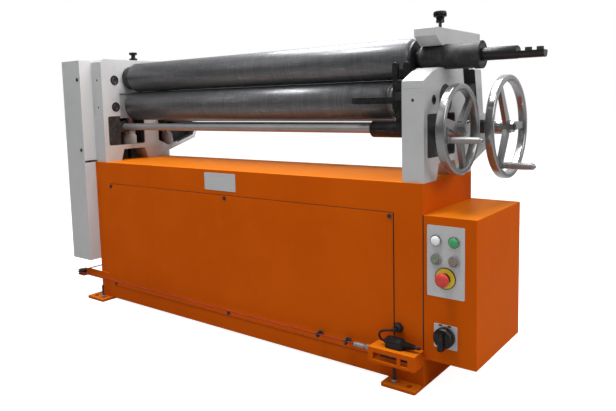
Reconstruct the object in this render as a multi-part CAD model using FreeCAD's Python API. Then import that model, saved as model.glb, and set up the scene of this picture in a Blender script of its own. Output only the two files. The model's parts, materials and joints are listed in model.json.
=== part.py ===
"""Electric slip roll with three rolls on a welded base cabinet.

Millimetres. X runs along the rolls, from the drive end to the drop end. Y runs from the front, where the
sheet goes in, to the back. Z is up. The origin lies on the floor, at the centre of the four anchor holes.
Each node is written as one STEP file, as one solid or as a group of separate solids.
"""
import FreeCAD, Part
import math
import os

# Base cabinet and its foot plates
base_length = 1520.0
base_depth = 346.0
base_height = 582.0
base_wall = 4.0
foot_thickness = 10.0
foot_width = 110.0
foot_reach = 50.0
foot_inset = 35.0
feet_middle = -23.0
anchor_outset = 24.0
anchor_hole_radius = 9.0
jack_bolt_radius = 4.5
jack_bolt_length = 62.0
jack_nut_flats = 20.0
jack_nut_height = 10.0
jack_bolt_pitch = 47.0

# Service panel and name plate on the front of the base
panel_left_inset = 93.0
panel_right_inset = 94.0
panel_rise = 56.0
panel_drop = 89.0
panel_thickness = 2.0
panel_lap = 16.0
panel_screw_radius = 4.0
panel_screw_inset = 10.0
screw_head_height = 3.0
name_plate_width = 152.0
name_plate_height = 63.0
name_plate_centre = -23.0
name_plate_drop = 42.0
name_plate_thickness = 1.2

# End frames; depths are taken from their front face and heights from the top of the base
frame_thickness = 67.0
frame_front_set = 6.0
frame_left_rise = 78.0
frame_right_drop = 31.0
frame_front_drop = 53.0
frame_edge_radius = 4.0
frame_bolt_radius = 7.0
frame_bolt_head = 12.0
frame_bolt_sets = (27.0, 57.0, 247.0, 312.0)
arch_outline = [(80, 0), (96, 48), (207, 48), (226, 0)]
tail_outline = [(335, 0), (336, 22), (511, 74), (543, 139), (519, 158), (437, 183)]
pocket_outline = [(289, 74), (357, 44), (499, 88), (524, 136), (511, 146), (425, 172), (289, 172)]
crown_back = 414.0
crown_front = 94.0
shoulder_set = 49.0
shoulder_drop = 18.0
crown_chamfer = 12.0
window_set = 22.0
window_width = 187.0
window_drop = 76.5
window_rise = 46.5
window_corner = 9.0
outer_wall = 20.0
pocket_wall = 12.0
plug_radius = 14.0
plug_depth = 7.0
plug_set = 64.0
upper_plug_drop = 87.0
plug_pitch = 113.0
set_screw_radius = 4.5

# Rolls
roll_radius = 60.0
roll_end_gap = 6.0
roll_edge = 12.0
upper_roll_set = 147.0
upper_roll_height = 352.0
lower_roll_set = 143.0
roll_nip = 0.3
rear_roll_set = 335.0
rear_roll_drop = 13.7
lower_roll_travel = 6.0
rear_roll_travel = 72.0
rear_slope = math.radians(11.0)
upper_barrel_left_gap = 45.0
upper_barrel_right_gap = 26.0
lower_barrel_left_gap = 26.0
wire_groove_radius = 3.0
wire_groove_pitch = 24.0
wire_groove_count = 3
wire_groove_inset = 88.0
running = 0.05
sliding = 0.2
seat_gap = 0.3

# Upper roll bearings and its drop end
upper_journal_radius = 28.0
sleeve_radius = 36.0
sleeve_inside = 3.0
sleeve_outside = 87.0
flange_radius = 39.0
flange_width = 20.0
collar_radius = 49.0
collar_gap = 8.0
tail_radius = 18.0
tail_length = 100.0
tongue_length = 68.0
tongue_thickness = 19.0
tongue_drop = 17.0
tongue_width = 34.0
tongue_screw_radius = 9.0
tongue_screw_height = 9.0
tongue_screw_sets = (24.0, 54.0)
ball_radius = 46.0
ball_width = 44.0
roll_tilt_clearance = 5.0

# Bearing cap over the drop end
cap_height = 49.0
cap_set = 77.0
cap_length = 326.0
cap_chamfer_width = 40.0
cap_chamfer_height = 26.0
cap_seat_bite = 4.0
hinge_set = 382.0
hinge_rise = 30.0
hinge_pin_radius = 9.0
hinge_eye_radius = 20.0
hinge_tongue = 26.0
hinge_fork_room = 6.0
cap_knob_set = 179.0
knob_stud_radius = 5.0
knob_stud_rise = 21.0
knob_neck_radius = 12.5
knob_neck_height = 16.0
knob_radius = 20.0
knob_height = 18.0
left_knob_set = 185.0
left_knob_offset = 12.5
left_knob_radius = 17.0

# Lower roll carriage
lower_journal_radius = 30.0
lower_block_half_width = 57.8
lower_block_height = 100.0
lower_boss_radius = 42.0
guide_clearance = 0.2
front_screw_radius = 12.0
front_screw_set = 153.0

# Rear roll carriage
rear_journal_radius = 25.0
rear_block_half_width = 45.8
rear_block_half_height = 52.0
rear_slot_low = -60.0
rear_slot_room = 26.0
rear_screw_radius = 11.0
rear_pad_level = -164.0

# Adjusting shafts, worm gearing and handwheels
shaft_radius = 14.0
front_shaft_set = 109.0
front_shaft_drop = 87.2
rear_shaft_set = 391.0
rear_shaft_drop = 79.0
worm_radius = 16.0
worm_length = 38.0
worm_mesh_gap = 0.4
wheel_half_height = 8.0
worm_wheel_teeth = 20
jack_boss_radius = 30.0
jack_boss_height = 57.0
rear_boss_radius = 26.0
front_wheel_reach = 54.0
front_wheel_radius = 130.0
rear_wheel_reach = 94.0
rear_collar_length = 40.0
rear_wheel_radius = 162.0
rim_depth = 19.0
rim_width = 26.0
rim_corner = 6.0
hub_radius = 20.0
hub_back = 36.0
hub_front = 10.0
spoke_thickness = 13.0
spoke_root_width = 30.0
spoke_width = 21.0
thread_radius = 10.0
wheel_nut_flats = 30.0
wheel_nut_height = 12.0
front_handle_radius = 9.5
rear_handle_radius = 11.0
handle_length = 92.0
handle_pin_radius = 5.0
front_handle_angle = math.radians(193.0)
rear_handle_angle = math.radians(241.0)
front_handle_reach = 103.0
rear_handle_reach = 132.0
front_spoke_angle = math.radians(46.0)
rear_spoke_angle = math.radians(0.0)

# Clutch between the halves of the front shaft; its places are taken from the frame's inner face
clutch_radius = 26.0
clutch_inset = 158.0
clutch_hub_inset = 25.0
clutch_hub_gap = 4.0
dog_length = 6.0
dog_width = 12.0
groove_width = 8.0
groove_depth = 6.0
groove_inset = 41.0
fork_inset = 65.0
fork_gap = 13.0
fork_thickness = 10.0
fork_set = 66.0
fork_rise = 88.0
fork_tail_width = 26.0
fork_pivot_rise = 98.5
fork_pivot_inset = 39.0
fork_pin_radius = 8.0
lever_length = 141.0
lever_height = 20.0
lever_drop = 12.0

# Roll drive under the left cover
gear_teeth = 20
gear_module = 6.0
gear_width = 24.0
gear_gap = 12.0
gear_hub_radius = 30.0
stub_radius = 15.0
sprocket_width = 10.0
chain_pitch = 19.05
upper_sprocket_radius = 57.0
lower_sprocket_radius = 40.0
output_radius = 18.0
chain_thickness = 8.0
chain_gap = 0.4
bridge_half_width = 62.0
bridge_post_radius = 7.0
reducer_height = 245.0
reducer_set = 30.0
reducer_length = 160.0
reducer_half_width = 95.0
reducer_crown = 100.0
reducer_stand_height = 120.0
reducer_shaft_depth = 94.0
reducer_bore_room = 12.0
cover_reach = 126.0
cover_front_reach = 52.0
cover_back_reach = 67.0
cover_rise = 162.0
cover_wall = 2.0
cover_flange = 64.0
cover_slot = 8.0
cover_screw_rises = (347.0, 53.0)
cover_screw_set = 18.0
cover_pad_half = 16.0
motor_radius = 80.0
motor_length = 280.0
motor_box_half = 45.0
motor_box_height = 44.0

# Control box and its devices
box_width = 154.0
box_rise = 82.0
box_drop = 87.0
box_wall = 3.0
plate_inset = 12.0
plate_width = 109.0
plate_drop = 24.0
plate_height = 200.0
device_set = 39.0
device_pitch = 52.0
lamp_drop = 66.0
button_drop = 119.0
stop_drop = 169.0
stop_set = 66.0
bezel_radius = 15.0
bezel_depth = 6.0
button_radius = 11.0
button_travel = 3.0
stop_plate_radius = 30.0
stop_cap_radius = 20.0
stop_collar_length = 14.0
stop_travel = 5.0
switch_set = 66.5
switch_rise = 79.0
switch_plate_half = 34.0
switch_knob_radius = 29.0
switch_knob_depth = 24.0
switch_grip_rise = 16.0
contactor_width = 26.0
contactor_depth = 79.0
contactor_height = 80.0
contactor_drop = 45.0
rail_height = 35.0

# Safety trip line round the base
line_radius = 2.5
line_front_reach = 32.0
line_back_reach = 37.0
line_end_reach = 125.0
line_drop = 18.0
line_eye_insets = (345.0, 241.0)
roller_radius = 14.0
roller_half_height = 9.0
arm_foot_length = 60.0
bracket_inset = 145.0
bracket_overlap = 2.0
bracket_depth = 62.0
bracket_rise = 106.0
bracket_drop = 44.0
bracket_sheet = 4.0
bracket_slots = ((15.0, 92.0), (103.0, 126.0))
switch_body_set = 41.0
switch_body_length = 60.0
switch_body_half = 15.0
switch_body_height = 30.0
lead_radius = 3.5
gland_inset = 77.0
gland_rise = 52.0

# Levels and places that follow from the sizes above
base_bottom = foot_thickness
base_top = base_bottom + base_height
base_left = -base_length / 2
base_right = base_length / 2
base_front = -base_depth / 2
base_back = base_depth / 2
foot_spacing = base_length - 2 * foot_inset
anchor_spacing_x = foot_spacing + 2 * anchor_outset
anchor_spacing_y = base_depth + 2 * anchor_outset
panel_left = base_left + panel_left_inset
panel_right = base_right - panel_right_inset
panel_low = base_bottom + panel_rise
panel_high = base_top - panel_drop
frame_front = base_front + frame_front_set
frame_left_height = upper_roll_height + frame_left_rise
frame_right_height = upper_roll_height - frame_right_drop
frame_right_front_height = frame_right_height - frame_front_drop
inner_face = base_right - frame_thickness
frame_middle = base_right - frame_thickness / 2
frame_bolt_places = [frame_front + place for place in frame_bolt_sets]
window_front = frame_front + window_set
window_back = window_front + window_width
plug_y = frame_front + plug_set
upper_plug_height = frame_left_height - upper_plug_drop
lower_plug_height = upper_plug_height - plug_pitch
upper_roll_y = frame_front + upper_roll_set
lower_roll_y = frame_front + lower_roll_set
lower_roll_height = upper_roll_height - 2 * roll_radius - roll_nip
rear_roll_y = frame_front + rear_roll_set
rear_roll_height = lower_roll_height - rear_roll_drop
rear_slot_high = rear_block_half_height + rear_roll_travel + rear_slot_room
barrel_half = inner_face - roll_end_gap
upper_barrel_left = -inner_face + upper_barrel_left_gap
upper_barrel_right = inner_face - upper_barrel_right_gap
lower_barrel_left = -inner_face + lower_barrel_left_gap
sleeve_left = inner_face - sleeve_inside
sleeve_right = base_right + sleeve_outside
upper_z = base_top + upper_roll_height
lower_z = base_top + lower_roll_height
rear_z = base_top + rear_roll_height
front_screw_y = frame_front + front_screw_set
front_shaft_y = frame_front + front_shaft_set
rear_shaft_y = frame_front + rear_shaft_set
front_shaft_z = lower_z - front_shaft_drop
rear_shaft_z = rear_z - rear_shaft_drop
window_floor = front_shaft_z - window_drop
window_ceiling = front_shaft_z + window_rise
front_wheel_x = base_right + front_wheel_reach
rear_wheel_x = base_right + rear_wheel_reach
cap_front = frame_front + cap_set
cap_back = cap_front + cap_length
cap_low = upper_z + sleeve_radius - cap_seat_bite
cap_high = cap_low + cap_height
cap_knob_y = frame_front + cap_knob_set
hinge_y = frame_front + hinge_set
hinge_z = base_top + frame_right_height + hinge_rise
clutch_left = inner_face - clutch_inset
clutch_hub_left = inner_face - clutch_hub_inset
clutch_hub_right = inner_face - clutch_hub_gap
clutch_length = clutch_hub_left - seat_gap - clutch_left
groove_x = inner_face - groove_inset
fork_left = inner_face - fork_inset
fork_right = inner_face - fork_gap
fork_y = frame_front + fork_set
fork_pivot_x = inner_face - fork_pivot_inset
fork_pivot_z = front_shaft_z + fork_pivot_rise
front_wheel_gear = front_screw_y - front_shaft_y - worm_radius - worm_mesh_gap
slide_up = (-math.sin(rear_slope), math.cos(rear_slope))
slide_out = (math.cos(rear_slope), math.sin(rear_slope))
rear_shaft_along = (rear_shaft_y - rear_roll_y) * slide_up[0] + (rear_shaft_z - rear_z) * slide_up[1]
rear_shaft_across = (rear_shaft_y - rear_roll_y) * slide_out[0] + (rear_shaft_z - rear_z) * slide_out[1]
rear_wheel_gear = rear_shaft_across - worm_radius - worm_mesh_gap
rear_boss_x = inner_face + rear_boss_radius + 2
gear_right = base_left - gear_gap
gear_left = gear_right - gear_width
sprocket_right = gear_left - 6
chain_x = sprocket_right - sprocket_width / 2
reducer_z = base_bottom + reducer_height
cover_left = base_left - cover_reach
cover_front = base_front - cover_front_reach
cover_back = base_back + cover_back_reach
cover_low = base_bottom + cover_rise
box_low = base_bottom + box_rise
box_high = base_top - box_drop
plate_left = base_right + plate_inset
plate_high = box_high - plate_drop
device_left = base_right + device_set
device_right = device_left + device_pitch
lamp_height = box_high - lamp_drop
button_height = box_high - button_drop
stop_height = box_high - stop_drop
stop_x = base_right + stop_set
switch_x = base_right + switch_set
switch_height = box_low + switch_rise
bracket_left = base_right - bracket_inset
bracket_right = base_right + bracket_overlap
bracket_top = base_bottom + bracket_rise
line_y = base_front - line_front_reach
line_back = base_back + line_back_reach
line_height = bracket_top - line_drop
line_left = base_left - line_end_reach
gland_x = base_right - gland_inset
gland_height = bracket_top + gland_rise

X = FreeCAD.Vector(1, 0, 0)
Y = FreeCAD.Vector(0, 1, 0)
Z = FreeCAD.Vector(0, 0, 1)
nodes = {}


def vec(x, y, z):
    return FreeCAD.Vector(x, y, z)


def block(x, y, z):
    """A box between two limits along each axis."""
    low = vec(min(x), min(y), min(z))
    return Part.makeBox(max(x) - min(x), max(y) - min(y), max(z) - min(z), low)


def bar(start, radius, length, axis):
    """A cylinder from start along an axis; a negative length runs the other way."""
    direction = axis if length > 0 else axis * -1
    return Part.makeCylinder(radius, abs(length), vec(*start), direction)


def ring(start, outer, inner, length, axis):
    """A tube with its bore open at both ends."""
    return bar(start, outer, length, axis).cut(bar(start, inner, length, axis))


def plate(points, low, high, axis):
    """A flat outline drawn in the plane across an axis, with thickness along that axis."""
    places = {
        "x": lambda a, b: vec(low, a, b),
        "y": lambda a, b: vec(a, low, b),
        "z": lambda a, b: vec(a, b, low),
    }
    directions = {"x": X, "y": Y, "z": Z}
    corners = [places[axis](*point) for point in points]
    face = Part.Face(Part.makePolygon(corners + corners[:1]))
    return face.extrude(directions[axis] * (high - low))


def turned(profile, base, axis):
    """A solid of revolution: profile lists (radius, distance along the axis) from its base."""
    points = [vec(radius, 0, along) for radius, along in profile]
    face = Part.Face(Part.makePolygon(points + points[:1]))
    solid = face.revolve(vec(0, 0, 0), Z, 360)
    solid.Placement = FreeCAD.Placement(vec(*base), FreeCAD.Rotation(Z, axis))
    return solid


def hexagon(centre, flats, height, axis):
    """A hexagonal nut or bolt head with its flat-to-flat width."""
    corner = flats / math.sqrt(3)
    turns = [math.radians(60 * i) for i in range(6)]
    points = [vec(corner * math.cos(turn), corner * math.sin(turn), 0) for turn in turns]
    solid = Part.Face(Part.makePolygon(points + points[:1])).extrude(Z * height)
    solid.Placement = FreeCAD.Placement(vec(*centre), FreeCAD.Rotation(Z, axis))
    return solid


def along_edges(shape, axis, test=None):
    """The straight edges of a shape that run along an axis, kept where test accepts their middle."""
    found = []
    for edge in shape.Edges:
        if len(edge.Vertexes) < 2 or not isinstance(edge.Curve, Part.Line):
            continue
        run = edge.Vertexes[1].Point - edge.Vertexes[0].Point
        if run.Length > 0 and abs(run.normalize().dot(axis)) > 0.999:
            if test is None or test(edge.CenterOfMass):
                found.append(edge)
    return found


def rounded(shape, radius, axis, test=None):
    """A shape with a fillet on its straight edges along an axis."""
    return shape.makeFillet(radius, along_edges(shape, axis, test))


def fuse(first, *others):
    """One solid made of pieces that touch or overlap."""
    solid = first
    for other in others:
        solid = solid.fuse(other)
    return solid.removeSplitter()


def cut(first, *others):
    """A solid less each of the others."""
    solid = first
    for other in others:
        solid = solid.cut(other)
    return solid


def mirrored(shape):
    """The same piece for the other end of the machine."""
    return shape.mirror(vec(0, 0, 0), X)


def shell(x, y, z, wall, open_side):
    """A sheet-metal box open on one side, named as an axis letter and a sign."""
    sides = {"x": list(x), "y": list(y), "z": list(z)}
    outer = block(*sides.values())
    for name, limits in sides.items():
        sides[name] = [min(limits) + wall, max(limits) - wall]
    name, sign = open_side
    if sign == "+":
        sides[name][1] += 2 * wall
    else:
        sides[name][0] -= 2 * wall
    return outer.cut(block(*sides.values()))


def slide_point(along, across=0.0):
    """The place in the Y-Z plane at a distance along and across the rear roll's slide."""
    y = rear_roll_y + along * slide_up[0] + across * slide_out[0]
    z = rear_z + along * slide_up[1] + across * slide_out[1]
    return (y, z)


def slide_block(x, along, across):
    """A box that is square to the rear roll's slide."""
    corners = [(along[0], across[0]), (along[0], across[1]), (along[1], across[1]), (along[1], across[0])]
    return plate([slide_point(*corner) for corner in corners], min(x), max(x), "x")


def slide_bar(x, start, radius, length):
    """A round piece that lies along the rear roll's slide."""
    y, z = slide_point(start)
    return bar((x, y, z), radius, length, vec(0, *slide_up))


def keep(node, *solids):
    """A node of one or more solids, set off from the base's middle to the middle of the anchor holes."""
    for solid in solids:
        solid.translate(X * -feet_middle)
    nodes[node] = list(solids)


# --- Base cabinet -----------------------------------------------------------------------------------------


def base_cabinet():
    """A box welded from six sheets, the front one cut out to a rim that the service panel laps."""
    sides = ((base_left, base_right), (base_front, base_back), (base_bottom, base_top))
    walls = shell(*sides, base_wall, ("y", "-"))
    walls = rounded(walls, base_wall, Z, lambda p: p.y > 0 and abs(p.x) > base_right - 1)
    front = block(sides[0], (base_front, base_front + base_wall), sides[2])
    opening = block(
        (panel_left + panel_lap, panel_right - panel_lap),
        (base_front - 1, base_front + base_wall + 1),
        (panel_low + panel_lap, panel_high - panel_lap),
    )
    cabinet = fuse(walls, front.cut(opening))
    holes = []
    for side in (-1, 1):
        for y in frame_bolt_places:
            holes.append(bar((side * frame_middle, y, base_top + 1), frame_bolt_radius, -base_wall - 2, Z))
    holes.append(bar((base_left - 1, 0, reducer_z), output_radius + 8, base_wall + 2, X))
    for x, z in panel_screw_places():
        holes.append(bar((x, base_front - 1, z), panel_screw_radius, base_wall + 2, Y))
    holes.append(bar((gland_x, base_front - 1, gland_height), lead_radius + 4, base_wall + 2, Y))
    cabinet = cut(cabinet, *holes)
    between = (base_left + base_wall, base_right - base_wall)
    upright = (base_bottom + base_wall, base_top - base_wall)
    sheets = (
        block(sides[0], sides[1], (base_bottom, base_bottom + base_wall)),
        block(sides[0], sides[1], (base_top - base_wall, base_top)),
        block((base_left, base_left + base_wall), sides[1], upright),
        block((base_right - base_wall, base_right), sides[1], upright),
        block(between, (base_front, base_front + base_wall), upright),
        block(between, (base_back - base_wall, base_back), upright),
    )
    keep("base_cabinet", *[cabinet.common(sheet) for sheet in sheets])


def panel_screw_places():
    """Corners of the service panel, and the middles of its long edges."""
    inset = panel_screw_inset
    columns = (panel_left + inset, (panel_left + panel_right) / 2, panel_right - inset)
    return [(x, z) for x in columns for z in (panel_low + inset, panel_high - inset)]


def sheet_screw(x, face, z, shank_length):
    """A button-head screw that goes in through a sheet face towards the back."""
    top = face - screw_head_height
    shank = bar((x, face, z), panel_screw_radius, shank_length, Y)
    head = bar((x, top, z), panel_screw_radius * 1.7, screw_head_height, Y)
    return fuse(shank, head).cut(hexagon((x, top, z), panel_screw_radius, 2, Y))


def foot_plates():
    """Two flat plates under the ends of the base, drilled for the anchors and tapped for the jack bolts."""
    depth = (base_front - foot_reach, base_back + foot_reach)
    plates, bolts = [], []
    for end in (-1, 1):
        middle = feet_middle + end * foot_spacing / 2
        anchor_x = feet_middle + end * anchor_spacing_x / 2
        jack_x = anchor_x - end * jack_bolt_pitch
        foot = block((middle - foot_width / 2, middle + foot_width / 2), depth, (0, foot_thickness))
        foot = rounded(foot, 6, Z)
        for side in (-1, 1):
            y = side * anchor_spacing_y / 2
            foot = foot.cut(bar((anchor_x, y, -1), anchor_hole_radius, foot_thickness + 2, Z))
            foot = foot.cut(bar((jack_x, y, -1), jack_bolt_radius, foot_thickness + 2, Z))
            bolt = fuse(
                bar((jack_x, y, 0), jack_bolt_radius, jack_bolt_length, Z),
                hexagon((jack_x, y, foot_thickness), jack_nut_flats, jack_nut_height, Z),
            )
            bolts.append(bolt)
        plates.append(foot)
    keep("foot_plates", *plates)
    keep("levelling_bolts", *bolts)


def service_panel():
    """The flat panel over the front opening, and its screws."""
    outside = base_front - panel_thickness
    panel = block((panel_left, panel_right), (outside, base_front), (panel_low, panel_high))
    screws = []
    for x, z in panel_screw_places():
        panel = panel.cut(bar((x, outside - 1, z), panel_screw_radius, panel_thickness + 2, Y))
        screws.append(sheet_screw(x, outside, z, panel_thickness + base_wall + 4))
    keep("service_panel", panel)
    return screws


def name_plate():
    """The blank plate at the top of the base's front."""
    middle = base_top - name_plate_drop
    x = (name_plate_centre + name_plate_width / 2, name_plate_centre - name_plate_width / 2)
    z = (middle - name_plate_height / 2, middle + name_plate_height / 2)
    return rounded(block(x, (base_front - name_plate_thickness, base_front), z), 4, Y)


# --- End frames -------------------------------------------------------------------------------------------


def frame_outline(top, front_top):
    """The side view of an end frame: two feet, an arch between them, and a tail that overhangs the base."""
    if front_top < top:
        crown = [(crown_back, top), (crown_front, top), (shoulder_set, top - shoulder_drop), (0, front_top)]
    else:
        crown = [(crown_back, top), (crown_chamfer, top), (0, top - crown_chamfer)]
    return on_frame([(0, 0), *arch_outline, *tail_outline, *crown])


def on_frame(points):
    """Places in the Y-Z plane, from distances behind the frames' front face and above the base."""
    return [(frame_front + y, base_top + z) for y, z in points]


def end_frame(top, front_top, slot_high):
    """The right-hand end frame, with its windows, guides and bores, as cast and machined."""
    outer = base_right
    frame = plate(frame_outline(top, front_top), inner_face, outer, "x")
    frame = rounded(frame, frame_edge_radius, X, lambda p: p.z > base_top + 1)
    window = block((inner_face - 1, outer + 1), (window_front, window_back), (window_floor, window_ceiling))
    window = rounded(window, window_corner, X)
    guide_half = lower_block_half_width + guide_clearance
    guide = block(
        (inner_face - 1, outer - outer_wall),
        (lower_roll_y - guide_half, lower_roll_y + guide_half),
        (window_ceiling - window_corner, lower_z + lower_block_height / 2 + 4),
    )
    eye_radius = lower_boss_radius + 1
    eye_x = outer - outer_wall - 1
    eye = fuse(
        bar((eye_x, lower_roll_y, lower_z), eye_radius, outer_wall + 2, X),
        bar((eye_x, lower_roll_y, lower_z - lower_roll_travel), eye_radius, outer_wall + 2, X),
        block(
            (eye_x, outer + 1),
            (lower_roll_y - eye_radius, lower_roll_y + eye_radius),
            (lower_z - lower_roll_travel, lower_z),
        ),
    )
    slot_half = rear_block_half_width + guide_clearance
    slot = slide_block((inner_face - 1, outer + 1), (rear_slot_low, slot_high), (-slot_half, slot_half))
    pocket = plate(on_frame(pocket_outline), inner_face - 1, outer - pocket_wall, "x")
    pad = slide_block((inner_face, outer - pocket_wall), (rear_pad_level - 24, rear_pad_level), (-34, 34))
    rear_bore = bar((inner_face, rear_shaft_y, rear_shaft_z), shaft_radius + running, frame_thickness + 1, X)
    frame = cut(frame, window, guide, eye, slot, pocket.cut(pad), rear_bore)
    for height in (lower_plug_height, upper_plug_height):
        if base_top + height + plug_radius < base_top + front_top:
            z = base_top + height
            for x in (inner_face, outer - plug_depth):
                frame = frame.cut(bar((x, plug_y, z), plug_radius, plug_depth, X))
            frame = frame.cut(bar((frame_middle, frame_front, z), set_screw_radius, 12, Y))
    for y in frame_bolt_places:
        frame = frame.cut(bar((frame_middle, y, base_top), frame_bolt_radius, 30, Z))
    return frame


def end_frames():
    """Both end frames: the left one is higher and closed over its rear slot."""
    right = end_frame(frame_right_height, frame_right_front_height, rear_slot_high + 60)
    seat = bar((inner_face - 1, upper_roll_y, upper_z), sleeve_radius + running, frame_thickness + 2, X)
    tongue_x = (frame_middle - hinge_tongue / 2, frame_middle + hinge_tongue / 2)
    ear_y = (hinge_y - hinge_eye_radius, hinge_y + hinge_eye_radius)
    ear = fuse(
        block(tongue_x, ear_y, (base_top + frame_right_height - 1, hinge_z)),
        bar((tongue_x[0], hinge_y, hinge_z), hinge_eye_radius, hinge_tongue, X),
    )
    pin_hole = bar((tongue_x[0] - 1, hinge_y, hinge_z), hinge_pin_radius, hinge_tongue + 2, X)
    keep("right_frame", cut(fuse(right.cut(seat), ear), pin_hole))
    left = mirrored(end_frame(frame_left_height, frame_left_height, rear_slot_high))
    socket = ball_radius + running
    ball = Part.makeSphere(socket, vec(-frame_middle, upper_roll_y, upper_z))
    journal = upper_journal_radius + roll_tilt_clearance + 3
    bore = bar((-base_right - 1, upper_roll_y, upper_z), journal, frame_thickness + 2, X)
    keep("left_frame", cut(left, ball, bore))


def frame_fasteners():
    """Bolts from inside the base, the dark plugs on the frame faces and the screws that lock them."""
    bolts, plugs, screws = [], [], []
    for side in (-1, 1):
        for y in frame_bolt_places:
            x = side * frame_middle
            shank = bar((x, y, base_top - base_wall), frame_bolt_radius - 0.2, base_wall + 26, Z)
            head = hexagon((x, y, base_top - base_wall - 8), frame_bolt_head * 2, 8, Z)
            bolts.append(fuse(shank, head))
        for height in (lower_plug_height, upper_plug_height):
            if side > 0 and height > frame_right_front_height - plug_radius:
                continue
            z = base_top + height
            for low in (inner_face, base_right - plug_depth):
                x = low if side > 0 else -low - plug_depth
                outward = 1 if low > inner_face else -1
                socket_x = x if outward * side < 0 else x + plug_depth
                cap = bar((x, plug_y, z), plug_radius, plug_depth, X)
                socket = hexagon((socket_x, plug_y, z), plug_radius, -4 * outward * side, X)
                plugs.append(cap.cut(socket))
            start = (side * frame_middle, frame_front + 1, z)
            screw = bar(start, set_screw_radius, 11, Y)
            screws.append(screw.cut(hexagon(start, set_screw_radius, 3, Y)))
    keep("frame_bolts", *bolts)
    keep("frame_plugs", *plugs, *screws)


# --- Rolls ------------------------------------------------------------------------------------------------


def barrel(left, right, centre, grooves_at=None):
    """A ground roll body with chamfered ends and wire grooves."""
    y, z = centre
    length = right - left
    profile = [(0, 0), (roll_radius - roll_edge, 0), (roll_radius, roll_edge)]
    profile += [(roll_radius, length - roll_edge), (roll_radius - roll_edge, length), (0, length)]
    body = turned(profile, (left, y, z), X)
    if grooves_at is not None:
        for i in range(wire_groove_count):
            x = grooves_at + i * wire_groove_pitch
            body = body.cut(Part.makeTorus(roll_radius, wire_groove_radius, vec(x, y, z), X))
    return body


def upper_roll():
    """The driven upper roll: its barrel, journals, tail and milled tongue in one forging."""
    y, z = upper_roll_y, upper_z
    body = barrel(upper_barrel_left, upper_barrel_right, (y, z))
    left_end = gear_right - 2
    journal = bar((left_end + 16, y, z), upper_journal_radius, upper_barrel_left - left_end - 16, X)
    dog = block((left_end, left_end + 17), (y - 9, y + 9), (z - 18, z + 18))
    collar = bar((upper_barrel_right, y, z), roll_radius - 6, 6, X)
    tail_start = sleeve_right + flange_width
    neck = bar((upper_barrel_right, y, z), upper_journal_radius, tail_start - upper_barrel_right, X)
    profile = [(0, 0), (tail_radius, 0), (tail_radius, tail_length - 4), (tail_radius - 4, tail_length)]
    tail = turned([*profile, (0, tail_length)], (tail_start, y, z), X)
    tail_end = tail_start + tail_length
    low, high = z - tongue_drop, z - tongue_drop + tongue_thickness
    tongue = block(
        (tail_end - 5, tail_end + tongue_length), (y - tongue_width / 2, y + tongue_width / 2), (low, high)
    )
    round_bar = bar((tail_end - 5, y, z), tail_radius, tongue_length + 5, X)
    tongue = tongue.common(round_bar)
    screws = []
    for place in tongue_screw_sets:
        shank = bar((tail_end + place, y, high - 12), tongue_screw_radius / 2, 13, Z)
        tongue = tongue.cut(shank)
        head = bar((tail_end + place, y, high), tongue_screw_radius, tongue_screw_height, Z)
        socket = hexagon((tail_end + place, y, high + tongue_screw_height - 4), tongue_screw_radius, 5, Z)
        screws.append(fuse(shank, head).cut(socket))
    keep("upper_roll", fuse(body, journal, dog, collar, neck, tail, tongue))
    return screws


def upper_bearings(tongue_screws):
    """The spherical bearing ring in the left frame, and the sleeve and flange at the drop end."""
    y, z = upper_roll_y, upper_z
    ball = Part.makeSphere(ball_radius, vec(-frame_middle, y, z))
    slab = block(
        (-frame_middle - ball_width / 2, -frame_middle + ball_width / 2),
        (y - ball_radius - 1, y + ball_radius + 1),
        (z - ball_radius - 1, z + ball_radius + 1),
    )
    bore = bar((-frame_middle - ball_width, y, z), upper_journal_radius + running, 2 * ball_width, X)
    sleeve_length = sleeve_right - sleeve_left
    sleeve = ring((sleeve_left, y, z), sleeve_radius, upper_journal_radius + running, sleeve_length, X)
    keep("upper_roll_bearings", ball.common(slab).cut(bore), sleeve)
    flange_start = (sleeve_right + seat_gap, y, z)
    flange = ring(flange_start, flange_radius, upper_journal_radius, flange_width - seat_gap, X)
    notches = []
    for i in range(3):
        angle = math.radians(90 + 120 * i)
        circle = (flange_radius + upper_journal_radius) / 2
        place = (sleeve_right, y + circle * math.cos(angle), z + circle * math.sin(angle))
        notches.append(bar(place, 3.5, flange_width + 2, X))
    collar_start = (-inner_face + collar_gap, y, z)
    collar = ring(collar_start, collar_radius, upper_journal_radius, upper_barrel_left_gap - collar_gap, X)
    keep("upper_roll_end_fittings", cut(flange, *notches), collar, *tongue_screws)


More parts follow.
